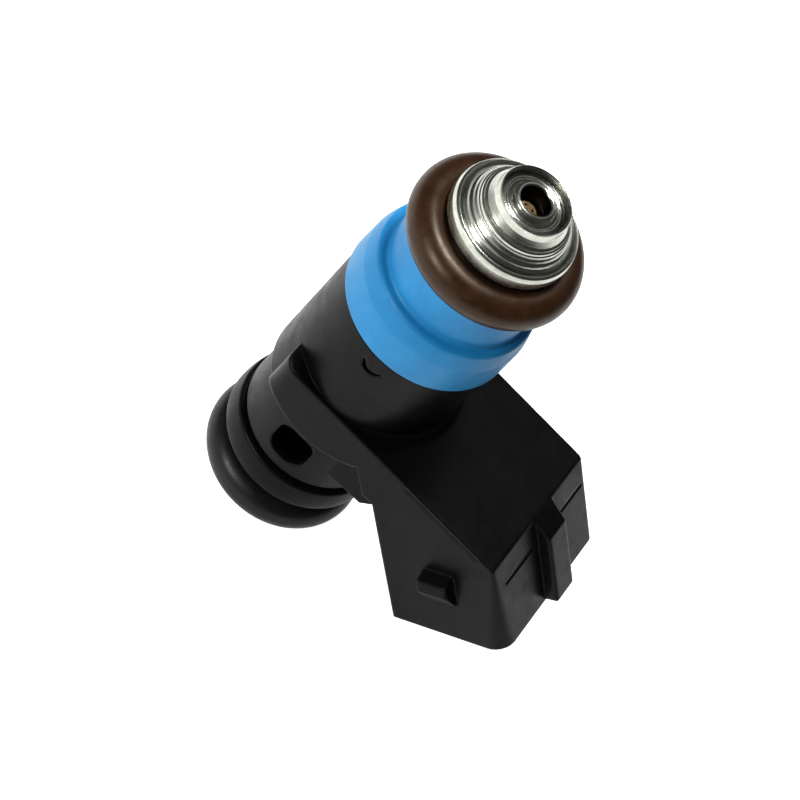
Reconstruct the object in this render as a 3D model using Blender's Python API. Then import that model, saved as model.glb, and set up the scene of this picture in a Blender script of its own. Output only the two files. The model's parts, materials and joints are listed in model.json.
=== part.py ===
"""Port fuel injector, modelled as the assembly that it comes apart into.

The injector's axis is Z. The nozzle points up, along +Z, and the fuel inlet points down.
The origin is the centre of the orifice disc's outer face, where the fuel leaves.
The electrical connector leans out towards +X and opens down and outwards.
Every turned piece is centred on Z. Lengths are given in millimetres, times MM.
"""

import math

import bmesh
import bpy
from mathutils import Matrix, Vector

MM = 0.001

# Segments round the outer and the inner turned pieces, and round a seal's section
OUTER_STEPS = 40
INNER_STEPS = 24
SEAL_STEPS = 12

# Clearance left between pieces that touch in the real object
REST_GAP = 0.05 * MM
COLLAR_SLACK = 0.12 * MM

# Needle travel, from the seat to the pole face
NEEDLE_LIFT = 0.20 * MM

# Main levels along the axis
COLLAR_TOP_Z = 1.55 * MM
VALVE_TIP_Z = 0.25 * MM
VALVE_STEP_Z = -2.65 * MM
COLLAR_INSIDE_Z = 0.30 * MM
COLLAR_ROLL_TOP_Z = -1.62 * MM
COLLAR_ROLL_END_Z = -2.50 * MM
COLLAR_END_Z = -2.88 * MM
LOWER_SEAL_Z = -4.60 * MM
SHELL_TOP_Z = -6.40 * MM
SHELL_LEDGE_Z = -10.00 * MM
SHELL_FLOOR_Z = -11.30 * MM
VALVE_END_Z = -12.00 * MM
SHELL_BOTTOM_Z = -15.09 * MM
BODY_BOTTOM_Z = -29.53 * MM
TUBE_STEP_Z = -33.00 * MM
GROOVE_Z = -36.05 * MM
OVERMOULD_END_Z = -39.00 * MM
UPPER_SEAL_Z = -42.60 * MM
INLET_END_Z = -46.00 * MM

# Seals: outside radius and section radius
SEAL_R = 7.30 * MM
LOWER_SEAL_SECTION = 1.65 * MM
UPPER_SEAL_SECTION = 1.75 * MM

# Outside radii
COLLAR_R = 5.19 * MM
COLLAR_RIM_R = 2.82 * MM
VALVE_NOSE_R = 2.95 * MM
VALVE_LIP_R = 2.00 * MM
VALVE_BORE_R = 1.70 * MM
VALVE_GLAND_R = 3.90 * MM
SHELL_R = 7.40 * MM
SHELL_NECK_R = 6.15 * MM
BODY_R = 7.19 * MM
NECK_R = 6.62 * MM
GROOVE_R = 6.15 * MM
BAND_R = 7.15 * MM
INLET_R = 3.70 * MM
INLET_FLARE_R = 5.45 * MM
INLET_LIP_R = 3.95 * MM
INLET_MOUTH_R = 3.20 * MM
INLET_BORE_R = 2.90 * MM
INLET_BORE_END_Z = -34.00 * MM

# Magnet: housing, coil and pole
HOUSING_R = 6.22 * MM
HOUSING_WALL = 0.67 * MM
HOUSING_BOTTOM_Z = -26.60 * MM
BOBBIN_TOP_Z = -12.60 * MM
BOBBIN_BOTTOM_Z = -25.60 * MM
BOBBIN_FLANGE = 0.70 * MM
BOBBIN_TUBE_R = 4.10 * MM
POLE_R = 3.00 * MM
POLE_FACE_Z = -18.75 * MM
POLE_BORE_R = 1.70 * MM
SLEEVE_IN_R = 3.05 * MM
SLEEVE_OUT_R = 3.65 * MM
SLEEVE_JOINT_Z = -17.30 * MM
SLEEVE_END_Z = -22.00 * MM

# Armature, needle and ball, with the valve closed
ARMATURE_R = 2.97 * MM
ARMATURE_TOP_Z = -13.00 * MM
ARMATURE_BOTTOM_Z = POLE_FACE_Z + NEEDLE_LIFT + REST_GAP
SPRING_SEAT_Z = -15.50 * MM
NEEDLE_R = 1.12 * MM
NEEDLE_BORE_R = 0.72 * MM
NEEDLE_PORT_R = 0.32 * MM
NEEDLE_PORT_Z = -5.00 * MM
NEEDLE_FIT = 0.03 * MM
POCKET_R = 1.50 * MM
BALL_R = 1.00 * MM
SEAT_CONE_APEX_Z = -0.50 * MM
BALL_Z = SEAT_CONE_APEX_Z - BALL_R * math.sqrt(2) - 0.02 * MM

# Return spring and the tube that presets it
SPRING_WIRE_R = 0.18 * MM
SPRING_COIL_R = 1.17 * MM
SPRING_TURNS = 6
SPRING_STEPS_PER_TURN = 14
SPRING_WIRE_SIDES = 6
ADJUSTER_TOP_Z = -21.60 * MM
ADJUSTER_BOTTOM_Z = -29.60 * MM
ADJUSTER_BORE_R = 0.95 * MM

# Valve stack, from the spray face down
STACK_R = 2.40 * MM
STACK_GAP = 0.04 * MM
DISC_THICKNESS = 0.20 * MM
DISC_DIMPLE = 0.40 * MM
DISC_DIMPLE_R = 0.80 * MM
ORIFICE_COUNT = 4
ORIFICE_R = 0.12 * MM
ORIFICE_CIRCLE_R = 0.48 * MM
WASHER_TOP_Z = -0.06 * MM
WASHER_BOTTOM_Z = -0.36 * MM
WASHER_BORE_R = 1.25 * MM
SEAT_TOP_Z = -0.63 * MM
SEAT_BOTTOM_Z = -1.80 * MM
SEAT_CONE_R = 1.10 * MM
SEAT_SAC_R = 0.40 * MM
SEAT_SKIRT_R = 1.92 * MM
SEAT_GROOVE_R = 2.00 * MM
SEAT_GROOVE_TOP_Z = -0.90 * MM
SEAT_GROOVE_BOTTOM_Z = -1.35 * MM
SEAT_SEAL_SECTION = 0.185 * MM
GUIDE_TOP_Z = -1.84 * MM
GUIDE_BOTTOM_Z = -2.24 * MM
GUIDE_HOLES = 6
GUIDE_HOLE_R = 0.27 * MM
GUIDE_HOLE_CIRCLE_R = 1.60 * MM
BALL_CLEARANCE = 0.03 * MM

# Connector: E runs from the shoulder to the mouth, N leans out from its outer face
CONNECTOR_LEAN = math.radians(40.5)
E_DIR = Vector((math.sin(CONNECTOR_LEAN), 0, -math.cos(CONNECTOR_LEAN)))
N_DIR = Vector((math.cos(CONNECTOR_LEAN), 0, math.sin(CONNECTOR_LEAN)))
CONNECTOR_CORNER = Vector((18.23, 0, -24.88)) * MM
CONNECTOR_LENGTH = 9.43 * MM
CONNECTOR_DEPTH = 11.07 * MM
CONNECTOR_HALF_WIDTH = 7.57 * MM
CONNECTOR_LEFT_ROUND = 1.9 * MM
CONNECTOR_RIGHT_ROUND = 0.35 * MM
CONNECTOR_INNER_ROUND = 0.4 * MM
SOCKET_WALL = 1.35 * MM
SOCKET_FLOOR = 1.80 * MM
SOCKET_ROUND = 0.8 * MM

# Shoulder block that carries the connector, with its lower edge coned in to the body
BLOCK_BACK_X = -5.40 * MM
BLOCK_BOTTOM_Z = BODY_BOTTOM_Z + 0.15 * MM
BLOCK_CORNER_ROUND = 1.6 * MM
BLOCK_CONE_SLOPE = 0.70
BLOCK_CONE_HEIGHT = 3.2 * MM
SHOULDER_SLOPE = math.radians(3.4)
CHEEK_X = 4.60 * MM
CHEEK_Z = -27.20 * MM

# Web between the neck and the connector
GUSSET_HALF_WIDTH = 5.56 * MM
GUSSET_TOP_Z = -26.50 * MM
GUSSET_BOTTOM_Z = -33.25 * MM
GUSSET_START_X = 7.16 * MM
GUSSET_SLOPE = 1.27

# Key rib on the connector's outer face
RIB_CENTRE_Y = 0.60 * MM
RIB_HALF_WIDTH = 1.30 * MM
RIB_HEIGHT = 1.15 * MM
RIB_LEAD = 2.0 * MM

# Clip lugs on the connector's two sides: start and end across N, and the ramp along E
LUG_FROM_N = -6.90 * MM
LUG_TO_N = -4.10 * MM
LUG_ROOF_HEIGHT = 1.25 * MM
LUG_HEIGHT = 1.40 * MM
LUG_START_E = 2.05 * MM
LUG_CREST_E = 2.40 * MM
LUG_CREST_END_E = 3.45 * MM
LUG_END_E = 5.45 * MM

# Mould pin holes in the neck, and the round dimple under the blue shell
PIN_HOLE_MIDDLE_X = -0.20 * MM
PIN_HOLE_HALF_WIDTH = 1.73 * MM
PIN_HOLE_TOP_Z = -30.50 * MM
PIN_HOLE_BOTTOM_Z = -34.45 * MM
PIN_HOLE_CORNER = 1.30 * MM
PIN_HOLE_FLOOR_R = 4.30 * MM
DIMPLE_R = 0.95 * MM
DIMPLE_DEPTH = 0.35 * MM
DIMPLE_CENTRE = Vector((-0.15, -7.19, -16.50)) * MM
DIMPLE_TILT = math.radians(14)

# Terminals: flat blades whose broad faces look along Y
TERMINAL_Y = 2.50 * MM
BLADE_WIDTH = 2.80 * MM
BLADE_THICKNESS = 0.60 * MM
BLADE_END_E = 8.00 * MM
BLADE_N = -5.45 * MM
LEG_IN_X = 4.00 * MM
LEG_OUT_X = 4.60 * MM
LEG_TOP_Z = BOBBIN_BOTTOM_Z - REST_GAP
BAR_TOP_Z = -27.20 * MM
BAR_BOTTOM_Z = -28.60 * MM

# Filter
FILTER_R = 2.20 * MM
FILTER_RING_R = 2.85 * MM
FILTER_WALL = 0.25 * MM
FILTER_TOP_Z = -35.60 * MM
FILTER_CEILING_Z = -36.10 * MM
FILTER_RING_TOP_Z = -43.30 * MM
FILTER_END_Z = -45.30 * MM
FILTER_WINDOWS = 4
WINDOW_HALF_WIDTH = 1.15 * MM
WINDOW_TOP_Z = -36.70 * MM
WINDOW_BOTTOM_Z = -42.70 * MM
MESH_THICKNESS = 0.10 * MM


def clear_scene():
    for obj in list(bpy.data.objects):
        bpy.data.objects.remove(obj, do_unlink=True)


def material(name, colour, roughness, metallic):
    """A Principled material with the piece's own colour."""
    made = bpy.data.materials.new(name)
    made.use_nodes = True
    shader = made.node_tree.nodes["Principled BSDF"]
    shader.inputs["Base Color"].default_value = (*colour, 1)
    shader.inputs["Roughness"].default_value = roughness
    shader.inputs["Metallic"].default_value = metallic
    return made


def finish_mesh(bm, name, surface=None):
    """Turn a bmesh into an object, with its normals out and its round faces smooth."""
    bmesh.ops.remove_doubles(bm, verts=bm.verts, dist=1e-8)
    bmesh.ops.recalc_face_normals(bm, faces=bm.faces)
    mesh = bpy.data.meshes.new(name)
    bm.to_mesh(mesh)
    bm.free()
    mesh.shade_smooth()
    mesh.set_sharp_from_angle(angle=math.radians(30))
    obj = bpy.data.objects.new(name, mesh)
    bpy.context.scene.collection.objects.link(obj)
    if surface:
        mesh.materials.append(surface)
    return obj


def turned(name, profile, steps, surface=None):
    """Spin a closed outline of (radius, z) points about the Z axis."""
    bm = bmesh.new()
    ring = [bm.verts.new((r, 0, z)) for r, z in profile]
    edges = [bm.edges.new((a, b)) for a, b in zip(ring, ring[1:] + ring[:1])]
    on_axis = [e for e in edges if all(v.co.x < 1e-9 for v in e.verts)]
    bmesh.ops.delete(bm, geom=on_axis, context="EDGES_FACES")
    bmesh.ops.spin(
        bm, geom=bm.verts[:] + bm.edges[:], cent=(0, 0, 0), axis=(0, 0, 1),
        angle=2 * math.pi, steps=steps, use_merge=True,
    )
    return finish_mesh(bm, name, surface)


def prism(name, outline, y_from, y_to, surface=None):
    """Extrude a closed outline of (x, z) points along Y."""
    bm = bmesh.new()
    face = bm.faces.new([bm.verts.new((x, y_from, z)) for x, z in outline])
    moved = bmesh.ops.extrude_face_region(bm, geom=[face])["geom"]
    top = [v for v in moved if isinstance(v, bmesh.types.BMVert)]
    bmesh.ops.translate(bm, verts=top, vec=(0, y_to - y_from, 0))
    return finish_mesh(bm, name, surface)


def as_cutter(obj):
    obj.hide_render = True
    obj.display_type = "WIRE"
    return obj


def boolean(target, other, operation):
    """Join another object to the target, or cut it away."""
    step = target.modifiers.new(f"{operation.lower()} {other.name}", "BOOLEAN")
    step.operation = operation
    step.object = as_cutter(other)
    step.solver = "EXACT"


def round_edges(obj, chosen, radius, segments):
    """Bevel the edges that chosen(a, b) picks by the places of their two ends."""
    bm = bmesh.new()
    bm.from_mesh(obj.data)
    edges = [e for e in bm.edges if chosen(e.verts[0].co, e.verts[1].co)]
    bmesh.ops.bevel(
        bm, geom=edges, offset=radius, segments=segments, profile=0.5, affect="EDGES",
    )
    bmesh.ops.recalc_face_normals(bm, faces=bm.faces)
    bm.to_mesh(obj.data)
    bm.free()


def arc(centre_r, centre_z, radius, start, end, steps):
    """Points on an arc of a profile, with angles in degrees from +R towards +Z."""
    points = []
    for i in range(steps + 1):
        angle = math.radians(start + (end - start) * i / steps)
        r = centre_r + radius * math.cos(angle)
        points.append((r, centre_z + radius * math.sin(angle)))
    return points


def mm_profile(*points):
    return [(r * MM, z * MM) for r, z in points]


def connector_point(e, n):
    """The (x, z) place in the connector's frame, e towards the mouth and n outwards."""
    place = CONNECTOR_CORNER + E_DIR * e + N_DIR * n
    return (place.x, place.z)


def shoulder_z(x):
    return CONNECTOR_CORNER.z + (CONNECTOR_CORNER.x - x) * math.tan(SHOULDER_SLOPE)


# Seals

def make_seals(surfaces):
    o_ring("lower_o_ring", LOWER_SEAL_Z, LOWER_SEAL_SECTION, surfaces["brown_rubber"])
    o_ring("upper_o_ring", UPPER_SEAL_Z, UPPER_SEAL_SECTION, surfaces["black_rubber"])


def o_ring(name, z, section, surface):
    """A ring of round section that comes out to the seals' outside radius."""
    outline = arc(SEAL_R - section, z, section, 0, 360, SEAL_STEPS)[:-1]
    return turned(name, outline, OUTER_STEPS, surface)


# Nozzle end

def make_nozzle_shell(surface):
    """Blue plastic sleeve, with a rounded shoulder and a narrower neck under the seal."""
    shoulder = arc(SHELL_R - 1.35 * MM, SHELL_LEDGE_Z - 1.25 * MM, 1.15 * MM, 75, 10, 4)
    outline = [
        (SLEEVE_OUT_R + 2 * REST_GAP, SHELL_TOP_Z),
        (SHELL_NECK_R - 0.15 * MM, SHELL_TOP_Z),
        (SHELL_NECK_R, SHELL_TOP_Z - 0.15 * MM),
        (SHELL_NECK_R, SHELL_LEDGE_Z - 0.05 * MM),
        *shoulder,
        (SHELL_R - 0.08 * MM, SHELL_LEDGE_Z - 2.20 * MM),
        (SHELL_R, SHELL_BOTTOM_Z + 0.1 * MM),
        (SHELL_R - 0.1 * MM, SHELL_BOTTOM_Z),
        (HOUSING_R + REST_GAP, SHELL_BOTTOM_Z),
        (HOUSING_R + REST_GAP, SHELL_FLOOR_Z),
        (SLEEVE_OUT_R + 2 * REST_GAP, SHELL_FLOOR_Z),
    ]
    return turned("nozzle_shell", outline, OUTER_STEPS, surface)


def make_nozzle_collar(surface):
    """Stepped steel cap: rolled flange, cone, cylinder, thin rim and boss round the bore."""
    outline = mm_profile(
        (1.22, 0.30), (1.22, 1.36), (1.34, 1.46), (1.48, 1.49), (1.68, 1.38), (1.84, 1.02),
        (2.08, 0.90), (2.58, 0.90), (2.68, 1.05), (2.76, 1.50),
    )
    outline += [(COLLAR_RIM_R, COLLAR_TOP_Z)]
    outline += mm_profile(
        (2.90, 1.52), (2.97, 1.38), (3.04, 0.80), (3.34, 0.28), (3.50, 0.17), (3.56, 0.02),
        (3.84, -0.34), (4.60, -1.28), (4.70, -1.25), (4.86, -1.12), (5.07, -1.27),
    )
    outline += [
        (COLLAR_R, COLLAR_ROLL_TOP_Z),
        (COLLAR_R, COLLAR_ROLL_END_Z),
        (COLLAR_R - 0.21 * MM, COLLAR_END_Z),
        (VALVE_GLAND_R + COLLAR_SLACK, COLLAR_END_Z),
        (VALVE_GLAND_R + COLLAR_SLACK, VALVE_STEP_Z + REST_GAP),
        (VALVE_NOSE_R + REST_GAP, VALVE_STEP_Z + REST_GAP),
        (VALVE_NOSE_R + REST_GAP, COLLAR_INSIDE_Z),
    ]
    return turned("nozzle_collar", outline, OUTER_STEPS, surface)


def make_valve_body(surface):
    """Steel body that holds the valve stack, with the seal's gland and a plug end."""
    outline = [
        (VALVE_LIP_R, VALVE_TIP_Z),
        (VALVE_NOSE_R - 0.20 * MM, VALVE_TIP_Z),
        (VALVE_NOSE_R, VALVE_TIP_Z - 0.20 * MM),
        (VALVE_NOSE_R, VALVE_STEP_Z),
        (VALVE_GLAND_R, VALVE_STEP_Z),
        (VALVE_GLAND_R, SHELL_TOP_Z + REST_GAP),
        (POLE_R, SHELL_TOP_Z + REST_GAP),
        (POLE_R, VALVE_END_Z),
        (VALVE_BORE_R, VALVE_END_Z),
        (VALVE_BORE_R, GUIDE_BOTTOM_Z - STACK_GAP),
        (STACK_R + REST_GAP, GUIDE_BOTTOM_Z - STACK_GAP),
        (STACK_R + REST_GAP, -STACK_GAP / 2),
        (VALVE_LIP_R, -STACK_GAP / 2),
    ]
    return turned("valve_body", outline, OUTER_STEPS, surface)


def make_orifice_disc(surface):
    """Thin disc with a dimple pressed outwards, drilled with the spray orifices."""
    slope = 0.15 * MM
    outline = [
        (0, 0),
        (DISC_DIMPLE_R, 0),
        (DISC_DIMPLE_R + slope, -DISC_DIMPLE),
        (STACK_R, -DISC_DIMPLE),
        (STACK_R, -DISC_DIMPLE - DISC_THICKNESS),
        (DISC_DIMPLE_R + slope - 0.10 * MM, -DISC_DIMPLE - DISC_THICKNESS),
        (DISC_DIMPLE_R - 0.10 * MM, -DISC_THICKNESS),
        (0, -DISC_THICKNESS),
    ]
    disc = turned("orifice_disc", outline, INNER_STEPS, surface)
    for i in range(ORIFICE_COUNT):
        angle = 2 * math.pi * (i + 0.5) / ORIFICE_COUNT
        drill_hole(disc, angle, ORIFICE_CIRCLE_R, ORIFICE_R, 0.5 * MM, 8)
    return disc


def drill_hole(target, angle, circle_r, hole_r, reach, sides):
    """Cut a straight hole along Z through the target at an angle round the axis."""
    bm = bmesh.new()
    bmesh.ops.create_cone(
        bm, cap_ends=True, segments=sides, radius1=hole_r, radius2=hole_r, depth=2 * reach,
    )
    place = (circle_r * math.cos(angle), circle_r * math.sin(angle), 0)
    middle = sum((Vector(c).z for c in target.bound_box), 0.0) / 8
    bmesh.ops.translate(bm, verts=bm.verts, vec=Vector(place) + Vector((0, 0, middle)))
    boolean(target, finish_mesh(bm, f"{target.name}_drill"), "DIFFERENCE")


def make_backup_washer(surface):
    outline = [
        (WASHER_BORE_R, WASHER_TOP_Z),
        (STACK_R, WASHER_TOP_Z),
        (STACK_R, WASHER_BOTTOM_Z),
        (WASHER_BORE_R, WASHER_BOTTOM_Z),
    ]
    return turned("backup_washer", outline, INNER_STEPS, surface)


def make_valve_seat(surface):
    """Seat with a 45 degree cone for the ball, a sac hole and a groove for its seal."""
    outline = [
        (SEAT_SAC_R, SEAT_TOP_Z),
        (STACK_R, SEAT_TOP_Z),
        (STACK_R, SEAT_GROOVE_TOP_Z),
        (SEAT_GROOVE_R, SEAT_GROOVE_TOP_Z),
        (SEAT_GROOVE_R, SEAT_GROOVE_BOTTOM_Z),
        (STACK_R, SEAT_GROOVE_BOTTOM_Z),
        (STACK_R, SEAT_BOTTOM_Z),
        (SEAT_SKIRT_R, SEAT_BOTTOM_Z),
        (SEAT_SKIRT_R, SEAT_CONE_APEX_Z - SEAT_CONE_R),
        (SEAT_CONE_R, SEAT_CONE_APEX_Z - SEAT_CONE_R),
        (SEAT_SAC_R, SEAT_CONE_APEX_Z - SEAT_SAC_R),
    ]
    return turned("valve_seat", outline, INNER_STEPS, surface)


def make_seat_o_ring(surface):
    middle_z = (SEAT_GROOVE_TOP_Z + SEAT_GROOVE_BOTTOM_Z) / 2
    outline = arc(STACK_R - SEAT_SEAL_SECTION, middle_z, SEAT_SEAL_SECTION, 0, 360, 8)[:-1]
    return turned("seat_o_ring", outline, INNER_STEPS, surface)


def make_needle_guide(surface):
    """Disc that centres the ball, with flow holes round it."""
    outline = [
        (BALL_R + BALL_CLEARANCE, GUIDE_TOP_Z),
        (STACK_R, GUIDE_TOP_Z),
        (STACK_R, GUIDE_BOTTOM_Z),
        (BALL_R + BALL_CLEARANCE, GUIDE_BOTTOM_Z),
    ]
    guide = turned("needle_guide", outline, INNER_STEPS, surface)
    for i in range(GUIDE_HOLES):
        angle = 2 * math.pi * i / GUIDE_HOLES
        drill_hole(guide, angle, GUIDE_HOLE_CIRCLE_R, GUIDE_HOLE_R, MM, 8)
    return guide


# Moving group

def make_valve_ball(surface):
    """Ball that closes the seat, its origin on the lift axis."""
    outline = arc(0, 0, BALL_R, 90, -90, 10)
    outline[0] = (0, BALL_R)
    outline[-1] = (0, -BALL_R)
    ball = turned("valve_ball", outline, INNER_STEPS, surface)
    ball.location.z = BALL_Z
    return ball


def make_valve_needle(surface):
    """Hollow needle between the armature and the ball, with two fuel ports across it."""
    top = BALL_Z - math.sqrt(BALL_R**2 - NEEDLE_BORE_R**2) - 0.02 * MM
    bottom = SPRING_SEAT_Z + 0.20 * MM
    outline = [
        (NEEDLE_BORE_R, top),
        (NEEDLE_R, top),
        (NEEDLE_R, bottom),
        (NEEDLE_BORE_R, bottom),
    ]
    needle = turned("valve_needle", outline, INNER_STEPS, surface)
    bm = bmesh.new()
    bmesh.ops.create_cone(
        bm, cap_ends=True, segments=12, radius1=NEEDLE_PORT_R, radius2=NEEDLE_PORT_R,
        depth=4 * NEEDLE_R,
    )
    bmesh.ops.rotate(bm, verts=bm.verts, matrix=Matrix.Rotation(math.pi / 2, 3, "Y"))
    bmesh.ops.translate(bm, verts=bm.verts, vec=(0, 0, NEEDLE_PORT_Z))
    boolean(needle, finish_mesh(bm, "needle_ports"), "DIFFERENCE")
    return needle


def make_armature(surface):
    """Soft iron plunger with a bore for the needle and a pocket for the spring."""
    chamfer = 0.15 * MM
    bore_r = NEEDLE_R + NEEDLE_FIT
    outline = [
        (bore_r, ARMATURE_TOP_Z),
        (ARMATURE_R - chamfer, ARMATURE_TOP_Z),
        (ARMATURE_R, ARMATURE_TOP_Z - chamfer),
        (ARMATURE_R, ARMATURE_BOTTOM_Z + chamfer),
        (ARMATURE_R - chamfer, ARMATURE_BOTTOM_Z),
        (POCKET_R, ARMATURE_BOTTOM_Z),
        (POCKET_R, SPRING_SEAT_Z),
        (bore_r, SPRING_SEAT_Z),
    ]
    return turned("armature", outline, INNER_STEPS, surface)


def make_return_spring(surface):
    """Coil spring from the armature's pocket to the adjusting tube."""
    top = SPRING_SEAT_Z - SPRING_WIRE_R - REST_GAP
    bottom = ADJUSTER_TOP_Z + SPRING_WIRE_R + REST_GAP
    count = SPRING_STEPS_PER_TURN * SPRING_TURNS
    bm = bmesh.new()
    rings = []
    for i in range(count + 1):
        turn = 2 * math.pi * i / SPRING_STEPS_PER_TURN
        outwards = Vector((math.cos(turn), math.sin(turn), 0))
        centre = outwards * SPRING_COIL_R + Vector((0, 0, top + (bottom - top) * i / count))
        ring = []
        for k in range(SPRING_WIRE_SIDES):
            a = 2 * math.pi * k / SPRING_WIRE_SIDES
            offset = outwards * math.cos(a) + Vector((0, 0, math.sin(a)))
            ring.append(bm.verts.new(centre + offset * SPRING_WIRE_R))
        rings.append(ring)
    for one, two in zip(rings, rings[1:]):
        for k in range(SPRING_WIRE_SIDES):
            after = (k + 1) % SPRING_WIRE_SIDES
            bm.faces.new((one[k], one[after], two[after], two[k]))
    bm.faces.new(rings[0])
    bm.faces.new(rings[-1])
    return finish_mesh(bm, "return_spring", surface)


# Magnet and fuel tube

def make_sleeves(surfaces):
    magnetic = [
        (SLEEVE_IN_R, SHELL_TOP_Z),
        (SLEEVE_OUT_R, SHELL_TOP_Z),
        (SLEEVE_OUT_R, SLEEVE_JOINT_Z),
        (SLEEVE_IN_R, SLEEVE_JOINT_Z),
    ]
    turned("valve_body_shell", magnetic, INNER_STEPS, surfaces["steel"])
    plain = [
        (SLEEVE_IN_R, SLEEVE_JOINT_Z - REST_GAP),
        (SLEEVE_OUT_R, SLEEVE_JOINT_Z - REST_GAP),
        (SLEEVE_OUT_R, SLEEVE_END_Z),
        (SLEEVE_IN_R, SLEEVE_END_Z),
    ]
    turned("non_magnetic_shell", plain, INNER_STEPS, surfaces["bright_steel"])


def make_coil(surfaces):
    flange_r = HOUSING_R - HOUSING_WALL - REST_GAP
    top_inner = BOBBIN_TOP_Z - BOBBIN_FLANGE
    bottom_inner = BOBBIN_BOTTOM_Z + BOBBIN_FLANGE
    bobbin = [
        (SLEEVE_OUT_R + REST_GAP, BOBBIN_TOP_Z),
        (flange_r, BOBBIN_TOP_Z),
        (flange_r, top_inner),
        (BOBBIN_TUBE_R, top_inner),
        (BOBBIN_TUBE_R, bottom_inner),
        (flange_r, bottom_inner),
        (flange_r, BOBBIN_BOTTOM_Z),
        (SLEEVE_OUT_R + REST_GAP, BOBBIN_BOTTOM_Z),
    ]
    turned("coil_bobbin", bobbin, INNER_STEPS, surfaces["bobbin_plastic"])
    winding = [
        (BOBBIN_TUBE_R + REST_GAP, top_inner - REST_GAP),
        (flange_r - 0.20 * MM, top_inner - REST_GAP),
        (flange_r - 0.20 * MM, bottom_inner + REST_GAP),
        (BOBBIN_TUBE_R + REST_GAP, bottom_inner + REST_GAP),
    ]
    turned("coil_winding", winding, INNER_STEPS, surfaces["copper"])


def make_housing(surfaces):
    """Steel pot round the coil, and the washer that closes the magnet's circuit."""
    inner_r = HOUSING_R - HOUSING_WALL
    pot = [
        (SLEEVE_OUT_R + REST_GAP, SHELL_FLOOR_Z - REST_GAP),
        (HOUSING_R - 0.2 * MM, SHELL_FLOOR_Z - REST_GAP),
        (HOUSING_R, SHELL_FLOOR_Z - 0.2 * MM),
        (HOUSING_R, HOUSING_BOTTOM_Z),
        (inner_r, HOUSING_BOTTOM_Z),
        (inner_r, BOBBIN_TOP_Z + REST_GAP),
        (SLEEVE_OUT_R + REST_GAP, BOBBIN_TOP_Z + REST_GAP),
    ]
    turned("coil_housing", pot, OUTER_STEPS, surfaces["steel"])
    ring = [
        (SLEEVE_IN_R, BOBBIN_BOTTOM_Z - REST_GAP),
        (inner_r - REST_GAP, BOBBIN_BOTTOM_Z - REST_GAP),
        (inner_r - REST_GAP, HOUSING_BOTTOM_Z),
        (SLEEVE_IN_R, HOUSING_BOTTOM_Z),
    ]
    washer = turned("flux_washer", ring, INNER_STEPS, surfaces["steel"])
    for side in (-1, 1):
        notch = leg_notch(side)
        boolean(washer, notch, "DIFFERENCE")


def leg_notch(side):
    """Open notch at the washer's edge where a terminal's leg passes."""
    margin = 0.15 * MM
    half = BLADE_THICKNESS / 2 + margin
    outline = [
        (LEG_IN_X - margin, LEG_TOP_Z + MM),
        (HOUSING_R, LEG_TOP_Z + MM),
        (HOUSING_R, BAR_TOP_Z - MM),
        (LEG_IN_X - margin, BAR_TOP_Z - MM),
    ]
    y = side * TERMINAL_Y
    return prism("leg_notch", outline, y - half, y + half)


def make_inlet_tube(surface):
    """Fuel tube: its inner end is the magnet's pole, and its flare holds the upper seal."""
    flare_z = UPPER_SEAL_Z - UPPER_SEAL_SECTION - 0.20 * MM
    flare_corner = 0.25 * MM
    outline = [
        (POLE_BORE_R, POLE_FACE_Z),
        (POLE_R - 0.1 * MM, POLE_FACE_Z),
        (POLE_R, POLE_FACE_Z - 0.1 * MM),
        (POLE_R, TUBE_STEP_Z - REST_GAP),
        (INLET_R, TUBE_STEP_Z - REST_GAP),
        (INLET_R, flare_z),
        (INLET_FLARE_R - flare_corner, flare_z),
        (INLET_FLARE_R, flare_z - flare_corner),
        (INLET_FLARE_R, flare_z - 0.60 * MM),
        (INLET_FLARE_R - flare_corner, flare_z - 0.60 * MM - flare_corner),
        (INLET_LIP_R + 0.25 * MM, INLET_END_Z + 0.25 * MM),
        (INLET_LIP_R, INLET_END_Z),
        (INLET_MOUTH_R, INLET_END_Z),
        (INLET_BORE_R, INLET_END_Z + 0.30 * MM),
        (INLET_BORE_R, INLET_BORE_END_Z),
        (POLE_BORE_R, INLET_BORE_END_Z + 0.80 * MM),
    ]
    return turned("inlet_tube", outline, OUTER_STEPS, surface)


def make_adjusting_tube(surface):
    outline = [
        (ADJUSTER_BORE_R, ADJUSTER_TOP_Z),
        (POLE_BORE_R - REST_GAP, ADJUSTER_TOP_Z),
        (POLE_BORE_R - REST_GAP, ADJUSTER_BOTTOM_Z),
        (ADJUSTER_BORE_R, ADJUSTER_BOTTOM_Z),
    ]
    return turned("adjusting_tube", outline, INNER_STEPS, surface)


def make_filter(surfaces):
    """Basket filter in the inlet: a frame with windows, and a mesh sleeve inside it."""
    cage_in_r = FILTER_R - FILTER_WALL
    outline = [
        (0, FILTER_TOP_Z),
        (FILTER_R, FILTER_TOP_Z),
        (FILTER_R, FILTER_RING_TOP_Z),
        (FILTER_RING_R, FILTER_RING_TOP_Z),
        (FILTER_RING_R, FILTER_END_Z),
        (cage_in_r, FILTER_END_Z),
        (cage_in_r, FILTER_CEILING_Z),
        (0, FILTER_CEILING_Z),
    ]
    frame = turned("filter_frame", outline, INNER_STEPS, surfaces["filter_plastic"])
    for i in range(FILTER_WINDOWS // 2):
        boolean(frame, window_pair(i), "DIFFERENCE")
    mesh_out_r = cage_in_r - REST_GAP
    mesh_top_z = FILTER_CEILING_Z - REST_GAP
    mesh_end_z = FILTER_END_Z + 0.20 * MM
    sleeve = [
        (mesh_out_r - MESH_THICKNESS, mesh_top_z),
        (mesh_out_r, mesh_top_z),
        (mesh_out_r, mesh_end_z),
        (mesh_out_r - MESH_THICKNESS, mesh_end_z),
    ]
    turned("filter_mesh", sleeve, INNER_STEPS, surfaces["mesh"])


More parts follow.
